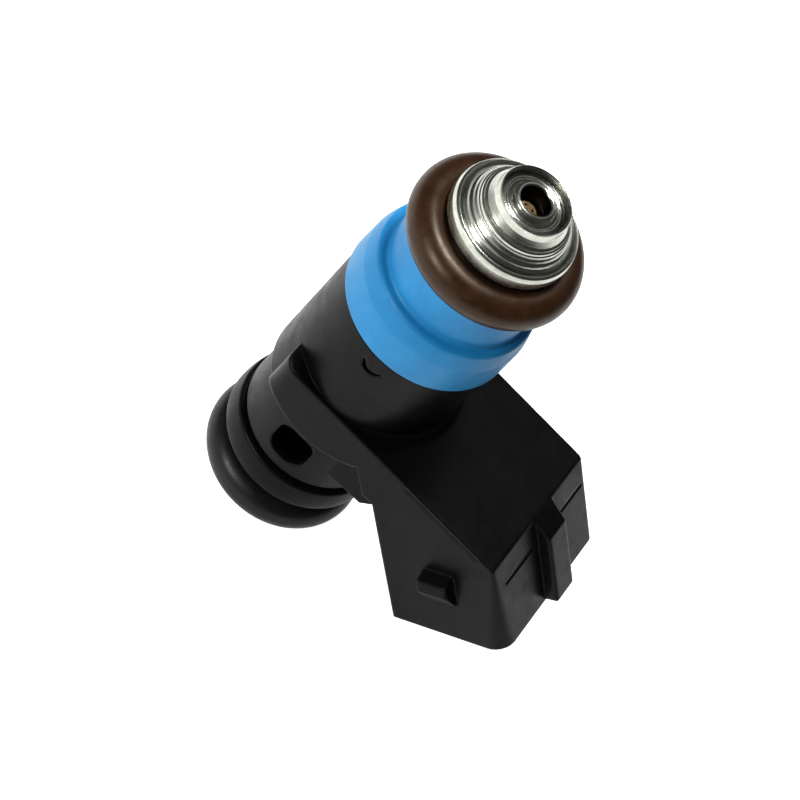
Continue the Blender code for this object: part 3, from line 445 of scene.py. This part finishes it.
def crossing_quads(inside, index, axis):
    """A quad round every grid edge along one axis that crosses the surface."""
    low = np.moveaxis(inside, axis, 0)[:-1]
    high = np.moveaxis(inside, axis, 0)[1:]
    cells = np.moveaxis(index, axis, 0)
    crossed = (low != high)[:, 1:-1, 1:-1]
    ring = [cells[:, :-1, :-1], cells[:, 1:, :-1], cells[:, 1:, 1:], cells[:, :-1, 1:]]
    quads = np.stack([corner[crossed] for corner in ring], axis=1)
    outwards = low[:, 1:-1, 1:-1][crossed]
    if axis == 1:
        outwards = ~outwards
    quads[~outwards] = quads[~outwards][:, ::-1]
    return quads


def pulled_to_surface(points, field):
    """Move points along the field's slope until they lie on its zero surface."""
    reach = 0.02
    for _ in range(3):
        value = field(*points.T)
        slope = np.empty_like(points)
        for axis in range(3):
            offset = np.zeros(3)
            offset[axis] = reach
            slope[:, axis] = field(*(points + offset).T) - field(*(points - offset).T)
        slope /= 2 * reach
        steepness = np.maximum((slope**2).sum(1), 0.25)
        move = slope * (value / steepness)[:, None]
        points = points - np.clip(move, -FIELD_STEP / 2, FIELD_STEP / 2)
    return points


def mesh_from_field(name, field, low, high, step):
    """Surface nets over a regular grid, in millimetres."""
    axes = [np.arange(a, b + step, step) for a, b in zip(low, high)]
    grid = [a.reshape([-1 if i == k else 1 for k in range(3)]) for i, a in enumerate(axes)]
    values = field(*grid)
    inside = values < 0
    filled = sum(corner_values(inside, c).astype(np.int8) for c in cell_corners())
    active = (filled > 0) & (filled < 8)
    index = np.full(active.shape, -1)
    index[active] = np.arange(int(active.sum()))
    cells = np.argwhere(active)
    points = np.array(low) + (cells + cell_points(values, active)) * step
    points = pulled_to_surface(points, field)
    quads = np.concatenate([crossing_quads(inside, index, axis) for axis in range(3)])
    mesh = bpy.data.meshes.new(name)
    mesh.from_pydata((points * MM).tolist(), [], quads.tolist())
    mesh.shade_smooth()
    return link(bpy.data.objects.new(name, mesh))


def link(obj):
    bpy.context.scene.collection.objects.link(obj)
    return obj


# Turned pieces

def rounded_profile(corners):
    """A closed (r, z) outline whose corners are (r, z) or (r, z, round), as plain points."""
    count = len(corners)
    points = []
    for i, corner in enumerate(corners):
        here = Vector(corner[:2])
        if len(corner) < 3:
            points.append(tuple(here))
            continue
        before = Vector(corners[i - 1][:2]) - here
        after = Vector(corners[(i + 1) % count][:2]) - here
        points += corner_arc(here, before, after, corner[2])
    return points


def corner_arc(here, before, after, radius):
    """Points of the arc that rounds one corner, no longer than its sides allow."""
    turn = before.angle(after)
    back_off = min(radius / math.tan(turn / 2), 0.49 * before.length, 0.49 * after.length)
    radius = back_off * math.tan(turn / 2)
    middle_way = (before.normalized() + after.normalized()).normalized()
    centre = here + middle_way * radius / math.sin(turn / 2)
    start = here + before.normalized() * back_off - centre
    end = here + after.normalized() * back_off - centre
    sweep = start.angle_signed(end)
    points = []
    for k in range(CORNER_STEPS + 1):
        spoke = start.copy()
        spoke.rotate(Matrix.Rotation(-sweep * k / CORNER_STEPS, 2))
        points.append(tuple(centre + spoke))
    return points


def ring_section(radius, centre_r, centre_z, flash):
    """Round section of a seal, with the fine ridge that its mould leaves."""
    points = []
    steps = 64
    for k in range(steps):
        angle = 2 * math.pi * (k + 0.5) / steps
        swell = flash * math.exp(-((math.sin(angle) * radius / 0.06) ** 2))
        reach = radius - flash + swell
        points.append((centre_r + reach * math.cos(angle), centre_z + reach * math.sin(angle)))
    return points


def spun(name, points, steps=TURN_STEPS):
    """Spin a closed outline of (r, z) points, in millimetres, about the Z axis."""
    outline = np.array(points) * MM
    angles = 2 * np.pi * np.arange(steps) / steps
    x = outline[None, :, 0] * np.cos(angles)[:, None]
    y = outline[None, :, 0] * np.sin(angles)[:, None]
    z = np.broadcast_to(outline[None, :, 1], x.shape)
    count = len(points)
    here = np.arange(steps)[:, None] * count + np.arange(count)[None, :]
    following = np.roll(here, -1, axis=0)
    quads = np.stack([here, following, np.roll(following, -1, 1), np.roll(here, -1, 1)], -1)
    mesh = bpy.data.meshes.new(name)
    vertices = np.stack([x, y, z], -1).reshape(-1, 3)
    mesh.from_pydata(vertices.tolist(), [], quads.reshape(-1, 4).tolist())
    bm = bmesh.new()
    bm.from_mesh(mesh)
    bmesh.ops.remove_doubles(bm, verts=bm.verts, dist=1e-8)
    bmesh.ops.recalc_face_normals(bm, faces=bm.faces)
    bm.to_mesh(mesh)
    bm.free()
    mesh.shade_smooth()
    mesh.set_sharp_from_angle(angle=math.radians(35))
    obj = link(bpy.data.objects.new(name, mesh))
    obj.modifiers.new("even shading", "WEIGHTED_NORMAL").keep_sharp = True
    return obj


def collar_profile():
    """Rolled flange, rippled cone, fine ridges, cylinder, thin rim and boss round the bore."""
    flange = [
        (3.00, -2.60), (3.98, -2.60, 0.05), (4.02, -2.86, 0.05), (4.98, -2.88, 0.12),
        (5.19, -2.50, 0.2), (5.19, -1.62, 0.35), (5.07, -1.27, 0.12), (4.86, -1.12, 0.08),
        (4.70, -1.28, 0.06),
    ]
    cone = []
    steps = 60
    for k in range(steps + 1):
        t = k / steps
        r = 4.60 - 0.74 * t
        z = -1.30 + 0.90 * t
        ripple = 0.016 * math.sin(2 * math.pi * t * 2.5) * math.sin(math.pi * t)
        cone.append((r + ripple, z + ripple * 0.8))
    cap = [
        (3.81, -0.24, 0.03), (3.71, -0.19, 0.03), (3.67, -0.03, 0.03), (3.56, 0.02, 0.03),
        (3.50, 0.17, 0.04), (3.34, 0.26, 0.08), (3.04, 0.80, 0.4), (2.97, 1.38, 0.10),
        (2.90, 1.51, 0.05), (2.83, 1.545, 0.03), (2.77, 1.50, 0.03), (2.68, 0.96, 0.04),
        (2.50, 0.88, 0.06), (2.30, 0.97, 0.08), (2.08, 0.89, 0.08), (1.84, 1.02, 0.10),
        (1.68, 1.38, 0.10), (1.48, 1.49, 0.08), (1.34, 1.46, 0.05), (1.24, 1.34, 0.05),
        (1.22, 0.30), (3.00, 0.30),
    ]
    return rounded_profile(flange + cone + cap)


def shell_profile():
    return rounded_profile([
        (3.75, -6.42), (6.15, -6.42, 0.2), (6.15, -10.10, 0.3), (6.90, -10.13, 0.6),
        (7.30, -11.9, 1.2), (7.395, -14.6), (7.395, -15.09, 0.12), (6.27, -15.09),
        (6.27, -11.30), (3.75, -11.30),
    ])


def valve_body_profile():
    return rounded_profile([
        (2.00, 0.24, 0.05), (2.93, 0.24, 0.1), (2.94, -2.62, 0.1), (3.90, -2.66, 0.12),
        (3.90, -6.35), (3.00, -6.35), (3.00, -12.0), (1.70, -12.0), (1.70, -2.28),
        (2.45, -2.28), (2.45, -0.02), (2.00, -0.02),
    ])


def inlet_tube_profile():
    return rounded_profile([
        (1.70, -18.75), (3.00, -18.75, 0.1), (3.00, -33.05), (3.70, -33.05), (3.70, -44.55, 0.2),
        (5.45, -44.55, 0.18), (5.45, -45.38, 0.3), (4.30, -45.75, 0.2), (3.95, -46.0, 0.12),
        (3.20, -46.0, 0.1), (2.90, -45.7, 0.1), (2.90, -34.0), (1.70, -33.2),
    ])


def winding_profile():
    """Coil of wire as a stack of fine ridges."""
    low, high, wire = -24.85, -13.35, 0.25
    turns = int((high - low) / wire)
    outer = []
    for k in range(turns):
        for s in range(6):
            angle = math.pi * s / 6
            level = high - (k + (1 - math.cos(angle)) / 2) * wire
            outer.append((5.18 + 0.12 * math.sin(angle), level))
    return outer + [(4.15, low), (4.15, high)]


def make_spray_disc():
    """Thin disc pressed into a dimple, with four spray holes cut through it."""
    disc = spun("spray_disc", rounded_profile([
        (0.0, 0.0), (0.80, 0.0, 0.05), (0.95, -0.40, 0.05), (2.40, -0.40, 0.03),
        (2.40, -0.60, 0.03), (0.85, -0.60, 0.05), (0.70, -0.20, 0.05), (0.0, -0.20),
    ]), 96)
    for k in range(4):
        angle = math.pi / 2 * (k + 0.5)
        disc_hole(disc, 0.48 * math.cos(angle), 0.48 * math.sin(angle))
    return disc


def disc_hole(disc, x, y):
    bm = bmesh.new()
    bmesh.ops.create_cone(
        bm, cap_ends=True, segments=24, radius1=0.12 * MM, radius2=0.12 * MM, depth=1 * MM,
    )
    bmesh.ops.translate(bm, verts=bm.verts, vec=(x * MM, y * MM, -0.2 * MM))
    mesh = bpy.data.meshes.new("spray_hole_cutter")
    bm.to_mesh(mesh)
    bm.free()
    cutter = link(bpy.data.objects.new("spray_hole_cutter", mesh))
    cut = disc.modifiers.new("spray hole", "BOOLEAN")
    cut.object = cutter
    cut.operation = "DIFFERENCE"
    bpy.context.view_layer.objects.active = disc
    bpy.ops.object.modifier_move_to_index(modifier=cut.name, index=0)
    bpy.ops.object.modifier_apply(modifier=cut.name)
    bpy.data.objects.remove(cutter)


def make_spring():
    """Round wire coil with closed ends, as long as the CAD spring."""
    low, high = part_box("return_spring")
    wire_r = 0.18 * MM
    coil_r = 1.17 * MM
    turns = 6
    curve = bpy.data.curves.new("coil_spring", "CURVE")
    curve.dimensions = "3D"
    curve.bevel_depth = wire_r
    curve.bevel_resolution = 5
    curve.use_fill_caps = True
    path = curve.splines.new("POLY")
    steps = turns * 36
    path.points.add(steps)
    for k in range(steps + 1):
        t = k / steps
        angle = 2 * math.pi * turns * t
        rise = high.z - wire_r - (high.z - low.z - 2 * wire_r) * (1.12 * t - 0.06 - closed_end(t))
        place = (coil_r * math.cos(angle), coil_r * math.sin(angle), rise)
        path.points[k].co = (*place, 1)
    obj = link(bpy.data.objects.new("coil_spring", curve))
    return as_mesh(obj)


def closed_end(t):
    """How far the wire runs ahead of an even pitch near each end of the spring."""
    ends = 0.06 * (math.exp(-((1 - t) / 0.07) ** 2) - math.exp(-((t / 0.07) ** 2)))
    return ends


def as_mesh(obj):
    """The object's evaluated shape as a plain mesh object of the same name."""
    name = obj.name
    graph = bpy.context.evaluated_depsgraph_get()
    mesh = bpy.data.meshes.new_from_object(obj.evaluated_get(graph))
    bpy.data.objects.remove(obj)
    mesh.name = name
    mesh.shade_smooth()
    return link(bpy.data.objects.new(name, mesh))


# Materials

class Surface:
    """A Principled material built up node by node."""

    def __init__(self, name):
        self.material = bpy.data.materials.new(name)
        self.material.use_nodes = True
        self.tree = self.material.node_tree
        self.shader = self.tree.nodes["Principled BSDF"]
        self.place = self.tree.nodes.new("ShaderNodeTexCoord").outputs["Object"]
        self.height = None

    def node(self, kind, **settings):
        made = self.tree.nodes.new(kind)
        for key, value in settings.items():
            setattr(made, key, value)
        return made

    def join(self, source, target):
        self.tree.links.new(source, target)

    def put(self, socket, value):
        if hasattr(value, "is_linked"):
            self.join(value, self.shader.inputs[socket])
        else:
            self.shader.inputs[socket].default_value = value

    def noise(self, size_mm, detail=4.0, roughness=0.55, distortion=0.0):
        """Noise whose features are about size_mm across."""
        made = self.node("ShaderNodeTexNoise")
        made.inputs["Scale"].default_value = 1000 / size_mm
        made.inputs["Detail"].default_value = detail
        made.inputs["Roughness"].default_value = roughness
        made.inputs["Distortion"].default_value = distortion
        self.join(self.place, made.inputs["Vector"])
        return made.outputs["Fac"]

    def spread(self, value, low, high, to_low, to_high):
        """Map a value's range to another, with its ends clamped."""
        made = self.node("ShaderNodeMapRange")
        for key, number in zip(("From Min", "From Max", "To Min", "To Max"), (low, high, to_low, to_high)):
            made.inputs[key].default_value = number
        self.join(value, made.inputs["Value"])
        return made.outputs["Result"]

    def maths(self, operation, a, b=None):
        made = self.node("ShaderNodeMath", operation=operation)
        for socket, value in zip(made.inputs, (a, b)):
            if hasattr(value, "is_linked"):
                self.join(value, socket)
            elif value is not None:
                socket.default_value = value
        return made.outputs[0]

    def blend(self, factor, one, two):
        """Mix two colours, each a tuple or another node's output."""
        made = self.node("ShaderNodeMix", data_type="RGBA")
        self.join(factor, made.inputs["Factor"])
        for socket, colour in ((made.inputs[6], one), (made.inputs[7], two)):
            if hasattr(colour, "is_linked"):
                self.join(colour, socket)
            else:
                socket.default_value = (*colour, 1)
        return made.outputs[2]

    def pointiness(self):
        """About a half on flat faces, more on outer edges and less in creases."""
        return self.node("ShaderNodeNewGeometry").outputs["Pointiness"]

    def edges(self, low, high):
        """One on worn outer edges, nought on flat faces."""
        return self.spread(self.pointiness(), low, high, 0, 1)

    def radius(self):
        """Distance from the injector's axis."""
        parts = self.node("ShaderNodeSeparateXYZ")
        self.join(self.place, parts.inputs[0])
        squares = [self.maths("MULTIPLY", parts.outputs[i], parts.outputs[i]) for i in (0, 1)]
        return self.maths("SQRT", self.maths("ADD", *squares))

    def level(self):
        parts = self.node("ShaderNodeSeparateXYZ")
        self.join(self.place, parts.inputs[0])
        return parts.outputs[2]

    def bump(self, height, depth_mm, strength=1.0):
        """Add relief; each call stacks on the one before."""
        made = self.node("ShaderNodeBump")
        made.inputs["Strength"].default_value = strength
        made.inputs["Distance"].default_value = depth_mm * MM
        self.join(height, made.inputs["Height"])
        if self.height:
            self.join(self.height, made.inputs["Normal"])
        self.height = made.outputs["Normal"]
        self.join(self.height, self.shader.inputs["Normal"])


def moulded_plastic(name, dark, light, worn, rough, grain_mm, gleam=0.5):
    """Moulded plastic: faint flow clouds, fine grain, scuffed edges and scattered specks."""
    surface = Surface(name)
    clouds = surface.noise(4.0, 3.0, 0.5, 0.6)
    grain = surface.noise(grain_mm, 3.0, 0.7)
    tone = surface.maths("ADD", surface.spread(clouds, 0.35, 0.65, 0, 0.65), surface.spread(grain, 0.3, 0.7, 0, 0.35))
    base = surface.blend(tone, dark, light)
    scuffs = surface.maths("MULTIPLY", surface.edges(0.52, 0.60), surface.spread(surface.noise(0.6, 4.0, 0.7), 0.45, 0.7, 0, 0.8))
    specks = surface.spread(surface.noise(0.16, 2.0, 0.5), 0.70, 0.76, 0, 0.35)
    base = surface.blend(surface.maths("MAXIMUM", scuffs, specks), base, worn)
    surface.put("Base Color", base)
    gloss = surface.noise(1.6, 5.0, 0.65)
    surface.put("Roughness", surface.spread(gloss, 0.3, 0.7, rough - 0.07, rough + 0.09))
    surface.put("Specular IOR Level", gleam)
    surface.bump(grain, 0.010, 0.8)
    surface.bump(surface.noise(0.45, 4.0, 0.6), 0.018, 0.5)
    surface.bump(clouds, 0.05, 0.25)
    return surface


def rubber(name, dark, light, dust, rough, gleam, sheen):
    """Moulded rubber: soft mottling, pinpoint specks, faint dust and handling marks."""
    surface = Surface(name)
    mottling = surface.noise(1.3, 5.0, 0.65, 0.3)
    base = surface.blend(surface.spread(mottling, 0.35, 0.68, 0, 1), dark, light)
    specks = surface.spread(surface.noise(0.13, 2.0, 0.6), 0.62, 0.74, 0, 0.25)
    wipes = surface.spread(surface.noise(2.6, 6.0, 0.75, 1.2), 0.58, 0.78, 0, 0.28)
    base = surface.blend(surface.maths("MAXIMUM", specks, wipes), base, dust)
    surface.put("Base Color", base)
    surface.put("Roughness", surface.spread(surface.noise(0.8, 5.0, 0.7), 0.3, 0.7, rough - 0.06, rough + 0.12))
    surface.put("Specular IOR Level", gleam)
    surface.put("Specular Tint", (*sheen, 1))
    surface.bump(surface.noise(0.09, 3.0, 0.6), 0.005, 0.6)
    surface.bump(surface.noise(0.5, 4.0, 0.6), 0.010, 0.3)
    return surface


def turned_metal(name, dark, light, rough, pitch_mm, groove_mm, stain):
    """Lathe-turned metal: fine rings, small scratches and faint stains."""
    surface = Surface(name)
    across = surface.maths("ADD", surface.radius(), surface.level())
    waver = surface.spread(surface.noise(1.8, 2.0, 0.5), 0, 1, -0.02 * MM, 0.02 * MM)
    turns = surface.maths("MULTIPLY", surface.maths("ADD", across, waver), 2 * math.pi / (pitch_mm * MM))
    rings = surface.spread(surface.maths("SINE", turns), -1, 1, 0, 1)
    stains = surface.spread(surface.noise(1.1, 5.0, 0.6, 0.5), 0.4, 0.75, 0, 0.7)
    base = surface.blend(surface.spread(surface.noise(0.5, 4.0, 0.6), 0.3, 0.7, 0, 1), dark, light)
    base = surface.blend(stains, base, stain)
    # Painted shade down the nozzle cap's narrow bore: nearly black within about 1.3 mm of the axis.
    bore_shade = surface.spread(surface.radius(), 1.24 * MM, 1.34 * MM, 1, 0)
    base = surface.blend(bore_shade, base, (0.035, 0.032, 0.030))
    surface.put("Base Color", base)
    surface.put("Metallic", 1.0)
    scratches = surface.noise(0.22, 6.0, 0.8, 2.0)
    streaks = surface.maths("ADD", surface.spread(rings, 0, 1, -0.02, 0.03), surface.spread(scratches, 0.35, 0.7, 0, 0.08))
    surface.put("Roughness", surface.maths("ADD", streaks, rough))
    surface.put("Anisotropic", 0.50)
    surface.put("Anisotropic Rotation", 0.25)
    tangent = surface.node("ShaderNodeTangent", direction_type="RADIAL", axis="Z")
    surface.join(tangent.outputs[0], surface.shader.inputs["Tangent"])
    surface.bump(rings, groove_mm, 0.6)
    surface.bump(scratches, 0.003, 0.5)
    return surface


def paint_cap_shade(surface):
    """Painted shade in the hollow and creases of the nozzle cap, as patchy dark rings in the base colour."""
    shade = surface.spread(surface.level(), PAINTED_SHADE_END_Z * MM, (PAINTED_SHADE_END_Z + 0.2) * MM, 0, 0.9)
    bands = None
    for low, high in PAINTED_SHADE_RINGS:
        offset = surface.maths("SUBTRACT", surface.radius(), (low + high) / 2 * MM)
        reach = (high - low) / 2 * MM
        band = surface.spread(surface.maths("ABSOLUTE", offset), 0.4 * reach, reach, 1, 0)
        bands = surface.maths("MAXIMUM", bands, band) if bands else band
    base = surface.shader.inputs["Base Color"].links[0].from_socket
    patchy = surface.maths("MULTIPLY", shade, surface.maths("MULTIPLY", bands, surface.spread(
        surface.noise(0.5, 3.0, 0.6), 0.3, 0.6, 0.75, 1)))
    # Painted shade: the rings are blended towards a dark grey.
    surface.put("Base Color", surface.blend(patchy, base, (0.060, 0.058, 0.052)))


def drawn_metal(name, dark, light, rough):
    """Stamped or drawn metal: rolled grain, small pits and handling marks."""
    surface = Surface(name)
    base = surface.blend(surface.spread(surface.noise(0.9, 5.0, 0.65, 0.4), 0.3, 0.7, 0, 1), dark, light)
    surface.put("Base Color", base)
    surface.put("Metallic", 1.0)
    marks = surface.noise(0.3, 6.0, 0.75, 1.5)
    surface.put("Roughness", surface.spread(marks, 0.3, 0.7, rough - 0.06, rough + 0.14))
    surface.bump(marks, 0.004, 0.6)
    surface.bump(surface.spread(surface.noise(0.12, 2.0, 0.5), 0.62, 0.72, 0, -1), 0.004, 0.6)
    return surface


def woven_mesh(name):
    """Fine filter gauze: crossing threads round and along the sleeve."""
    surface = Surface(name)
    parts = surface.node("ShaderNodeSeparateXYZ")
    surface.join(surface.place, parts.inputs[0])
    angle = surface.maths("ARCTAN2", parts.outputs[1], parts.outputs[0])
    upright = surface.maths("ABSOLUTE", surface.maths("SINE", surface.maths("MULTIPLY", angle, 48)))
    level = surface.maths("MULTIPLY", parts.outputs[2], math.pi / (0.12 * MM))
    around = surface.maths("ABSOLUTE", surface.maths("SINE", level))
    weave = surface.maths("MULTIPLY", upright, around)
    surface.put("Base Color", surface.blend(weave, (0.55, 0.50, 0.36), (0.10, 0.09, 0.06)))
    surface.put("Roughness", surface.spread(surface.noise(0.4), 0.3, 0.7, 0.5, 0.7))
    surface.bump(weave, -0.03, 1.0)
    return surface


def paint_recess_shade(surface, gleam):
    """Painted shade in creases and in holes that run deep into the body: their base colour goes nearly black and
    their shine is turned down.
    """
    depth = surface.spread(surface.radius(), 5.9 * MM, 6.3 * MM, 0, 1)
    hollow = surface.spread(surface.pointiness(), 0.40, 0.49, 0.15, 1)
    open_face = surface.maths("MULTIPLY", depth, hollow)
    surface.put("Specular IOR Level", surface.maths("MULTIPLY", open_face, gleam))
    # Painted shade: the base colour is blended towards near black in creases and deep holes.
    shade = surface.spread(open_face, 0, 1, 0.75, 0)
    base = surface.shader.inputs["Base Color"].links[0].from_socket
    surface.put("Base Color", surface.blend(shade, base, (0.0004, 0.0004, 0.0004)))


def make_surfaces():
    black = moulded_plastic(
        "black_plastic", (0.0019, 0.0021, 0.0020), (0.0034, 0.0037, 0.0036),
        (0.014, 0.015, 0.014), 0.33, 0.10,
    )
    paint_recess_shade(black, 0.075)
    bright = turned_metal(
        "bright_steel", (0.50, 0.52, 0.45), (0.70, 0.71, 0.64), 0.17, 0.11, 0.0006,
        (0.42, 0.44, 0.36),
    )
    paint_cap_shade(bright)
    return {
        "black_plastic": black,
        "blue_plastic": moulded_plastic(
            "blue_plastic", (0.014, 0.22, 0.52), (0.022, 0.29, 0.62),
            (0.05, 0.38, 0.72), 0.38, 0.14, 0.22,
        ),
        "brown_rubber": rubber(
            "brown_rubber", (0.020, 0.0078, 0.0034), (0.034, 0.0140, 0.0062),
            (0.075, 0.046, 0.028), 0.31, 0.30, (1.0, 0.86, 0.66),
        ),
        "black_rubber": rubber(
            "black_rubber", (0.0042, 0.0043, 0.0040), (0.0070, 0.0072, 0.0067),
            (0.022, 0.022, 0.020), 0.36, 0.26, (1.0, 1.0, 1.0),
        ),
        "bright_steel": bright,
        "steel": turned_metal(
            "steel", (0.40, 0.40, 0.38), (0.56, 0.56, 0.53), 0.28, 0.16, 0.005,
            (0.30, 0.29, 0.26),
        ),
        "copper": drawn_metal("copper", (0.45, 0.14, 0.05), (0.66, 0.26, 0.11), 0.30),
        "brass": drawn_metal("brass", (0.10, 0.065, 0.035), (0.46, 0.32, 0.14), 0.34),
        "tinned": drawn_metal("tinned", (0.55, 0.54, 0.51), (0.76, 0.75, 0.72), 0.26),
        "spring_steel": drawn_metal("spring_steel", (0.34, 0.34, 0.35), (0.52, 0.52, 0.53), 0.26),
        "bobbin_plastic": moulded_plastic(
            "bobbin_plastic", (0.24, 0.21, 0.15), (0.33, 0.30, 0.22),
            (0.42, 0.38, 0.30), 0.50, 0.12,
        ),
        "filter_plastic": moulded_plastic(
            "filter_plastic", (0.44, 0.40, 0.28), (0.56, 0.52, 0.38),
            (0.66, 0.62, 0.50), 0.48, 0.12,
        ),
        "mesh": woven_mesh("mesh"),
    }


def pale_floor():
    """Matt off-white studio paper, lit from behind as far as the camera sees."""
    surface = Surface("studio_paper")
    fibres = surface.noise(1.5, 5.0, 0.6)
    surface.put("Base Color", surface.blend(fibres, (0.86, 0.86, 0.86), (0.90, 0.90, 0.90)))
    surface.put("Roughness", surface.spread(surface.noise(9.0), 0.3, 0.7, 0.8, 0.95))
    rays = surface.node("ShaderNodeLightPath")
    seen = surface.spread(rays.outputs["Is Camera Ray"], 0, 1, 0.08, 0.95)
    mirrored = surface.spread(rays.outputs["Is Glossy Ray"], 0, 1, 0, 0.42)
    glow = surface.maths("ADD", seen, mirrored)
    surface.put("Emission Color", (1, 1, 1, 1))
    surface.put("Emission Strength", glow)
    surface.bump(fibres, 0.01, 0.3)
    return surface.material


# Assembly

def dress(piece, material, node=None, body=FIXED_BODY):
    """Give a new piece its material and its body, and hide the CAD node it stands for."""
    piece.data.materials.clear()
    piece.data.materials.append(material)
    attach(piece, body)
    if node:
        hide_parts(node)


def add_new_pieces(surfaces):
    body = mesh_from_field(
        "moulded_body", moulded_field, (-8.0, -9.4, -39.6), (25.8, 9.4, -14.6), FIELD_STEP,
    )
    new = [
        (body, "black_plastic", "overmould_body"),
        (spun("tip_collar", collar_profile()), "bright_steel", "nozzle_collar"),
        (spun("blue_sleeve", shell_profile()), "blue_plastic", "nozzle_shell"),
        (spun("valve_holder", valve_body_profile()), "steel", "valve_body"),
        (spun("fuel_tube", inlet_tube_profile()), "bright_steel", "inlet_tube"),
        (spun("nozzle_seal", ring_section(1.65, 5.65, -4.60, 0.008)), "brown_rubber", "lower_o_ring"),
        (spun("inlet_seal", ring_section(1.75, 5.55, -42.60, 0.012)), "black_rubber", "upper_o_ring"),
        (spun("wound_coil", winding_profile(), 96), "copper", "coil_winding"),
        (make_spray_disc(), "brass", "orifice_disc"),
    ]
    for piece, slot, node in new:
        dress(piece, surfaces[slot].material, node)
    spring = make_spring()
    dress(spring, surfaces["spring_steel"].material, "return_spring")
    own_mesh(spring)


def dress_cad_nodes(surfaces):
    """Carried-over CAD pieces get the record's slot's material and fine bevels."""
    replaced = {"overmould_body", "nozzle_collar", "nozzle_shell", "valve_body", "inlet_tube",
                "lower_o_ring", "upper_o_ring", "coil_winding", "orifice_disc", "return_spring"}
    for part in frame["record"]["subparts"]:
        if part["node"] in replaced:
            continue
        obj = frame["nodes"][part["node"]]
        obj.data.materials.clear()
        obj.data.materials.append(surfaces[part["material_slot"]].material)
        obj.data.set_sharp_from_angle(angle=math.radians(35))
        bevel = obj.modifiers.new("broken edges", "BEVEL")
        bevel.width = 0.03 * MM
        bevel.segments = 2
        bevel.limit_method = "ANGLE"
        bevel.angle_limit = math.radians(50)


# Studio

def add_floor(level):
    bm = bmesh.new()
    bmesh.ops.create_grid(bm, x_segments=8, y_segments=8, size=1.2)
    bmesh.ops.translate(bm, verts=bm.verts, vec=(0, 0, level))
    mesh = bpy.data.meshes.new("studio_floor")
    bm.to_mesh(mesh)
    bm.free()
    floor = link(bpy.data.objects.new("studio_floor", mesh))
    mesh.materials.append(pale_floor())


def aimed(obj, place, target, up=Vector((0, 0, 1))):
    """Put an object at a place, looking down its -Z at the target."""
    back = (Vector(place) - Vector(target)).normalized()
    right = Vector(up).cross(back).normalized()
    upright = back.cross(right)
    turn = Matrix((right, upright, back)).transposed().to_4x4()
    obj.matrix_world = Matrix.Translation(Vector(place)) @ turn
    return obj


def softbox(name, place, target, width, height, power):
    light = bpy.data.lights.new(name, "AREA")
    light.shape = "RECTANGLE"
    light.size = width
    light.size_y = height
    light.energy = power
    return aimed(link(bpy.data.objects.new(name, light)), place, target)


def add_world():
    """Room with a pale side towards the front left, and dim elsewhere."""
    world = bpy.data.worlds.new("studio")
    world.use_nodes = True
    bpy.context.scene.world = world
    nodes, links = world.node_tree.nodes, world.node_tree.links
    place = nodes.new("ShaderNodeTexCoord")
    facing = nodes.new("ShaderNodeVectorMath")
    facing.operation = "DOT_PRODUCT"
    facing.inputs[1].default_value = PALE_SIDE
    rise = nodes.new("ShaderNodeMapRange")
    rise.interpolation_type = "SMOOTHSTEP"
    rise.inputs["From Min"].default_value = 0.3
    rise.inputs["From Max"].default_value = 1.0
    rise.inputs["To Min"].default_value = DIM_LEVEL
    rise.inputs["To Max"].default_value = PALE_LEVEL
    links.new(place.outputs["Generated"], facing.inputs[0])
    links.new(facing.outputs["Value"], rise.inputs["Value"])
    links.new(rise.outputs["Result"], nodes["Background"].inputs["Strength"])
    nodes["Background"].inputs["Color"].default_value = (1, 1, 0.98, 1)


def add_lights(target):
    softbox("key_softbox", target + Vector((-0.210, -0.286, 0.225)), target, 0.14, 0.14, 0.95)
    softbox("back_softbox", target + Vector((0.05, 0.30, 0.36)), target, 0.16, 0.22, 0.055)
    softbox("top_softbox", target + Vector((-0.075, 0.12, 0.475)), target, 0.09, 0.09, 2.2)


def add_camera():
    """Long lens looking down at the nozzle, rolled so that the injector leans."""
    forward = Vector((0.050, 0.614, -0.788)).normalized()
    right = Vector((0.730, 0.516, 0.448))
    right = (right - forward * right.dot(forward)).normalized()
    upright = right.cross(forward)
    camera = bpy.data.cameras.new("camera")
    camera.lens = 102.65
    camera.sensor_width = 36
    camera.clip_start = 0.001
    obj = link(bpy.data.objects.new("camera", camera))
    turn = Matrix((right, upright, -forward)).transposed().to_4x4()
    obj.matrix_world = Matrix.Translation(Vector((-5.58, -114.02, 119.87)) * MM) @ turn
    bpy.context.scene.camera = obj


def main():
    surfaces = make_surfaces()
    add_new_pieces(surfaces)
    dress_cad_nodes(surfaces)
    low, high = cad_box
    add_floor(low[2] - 0.0001)
    add_world()
    add_lights(Vector((0.006, 0, -0.022)))
    add_camera()
    bpy.context.scene.view_settings.view_transform = "Standard"
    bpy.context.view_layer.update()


main()
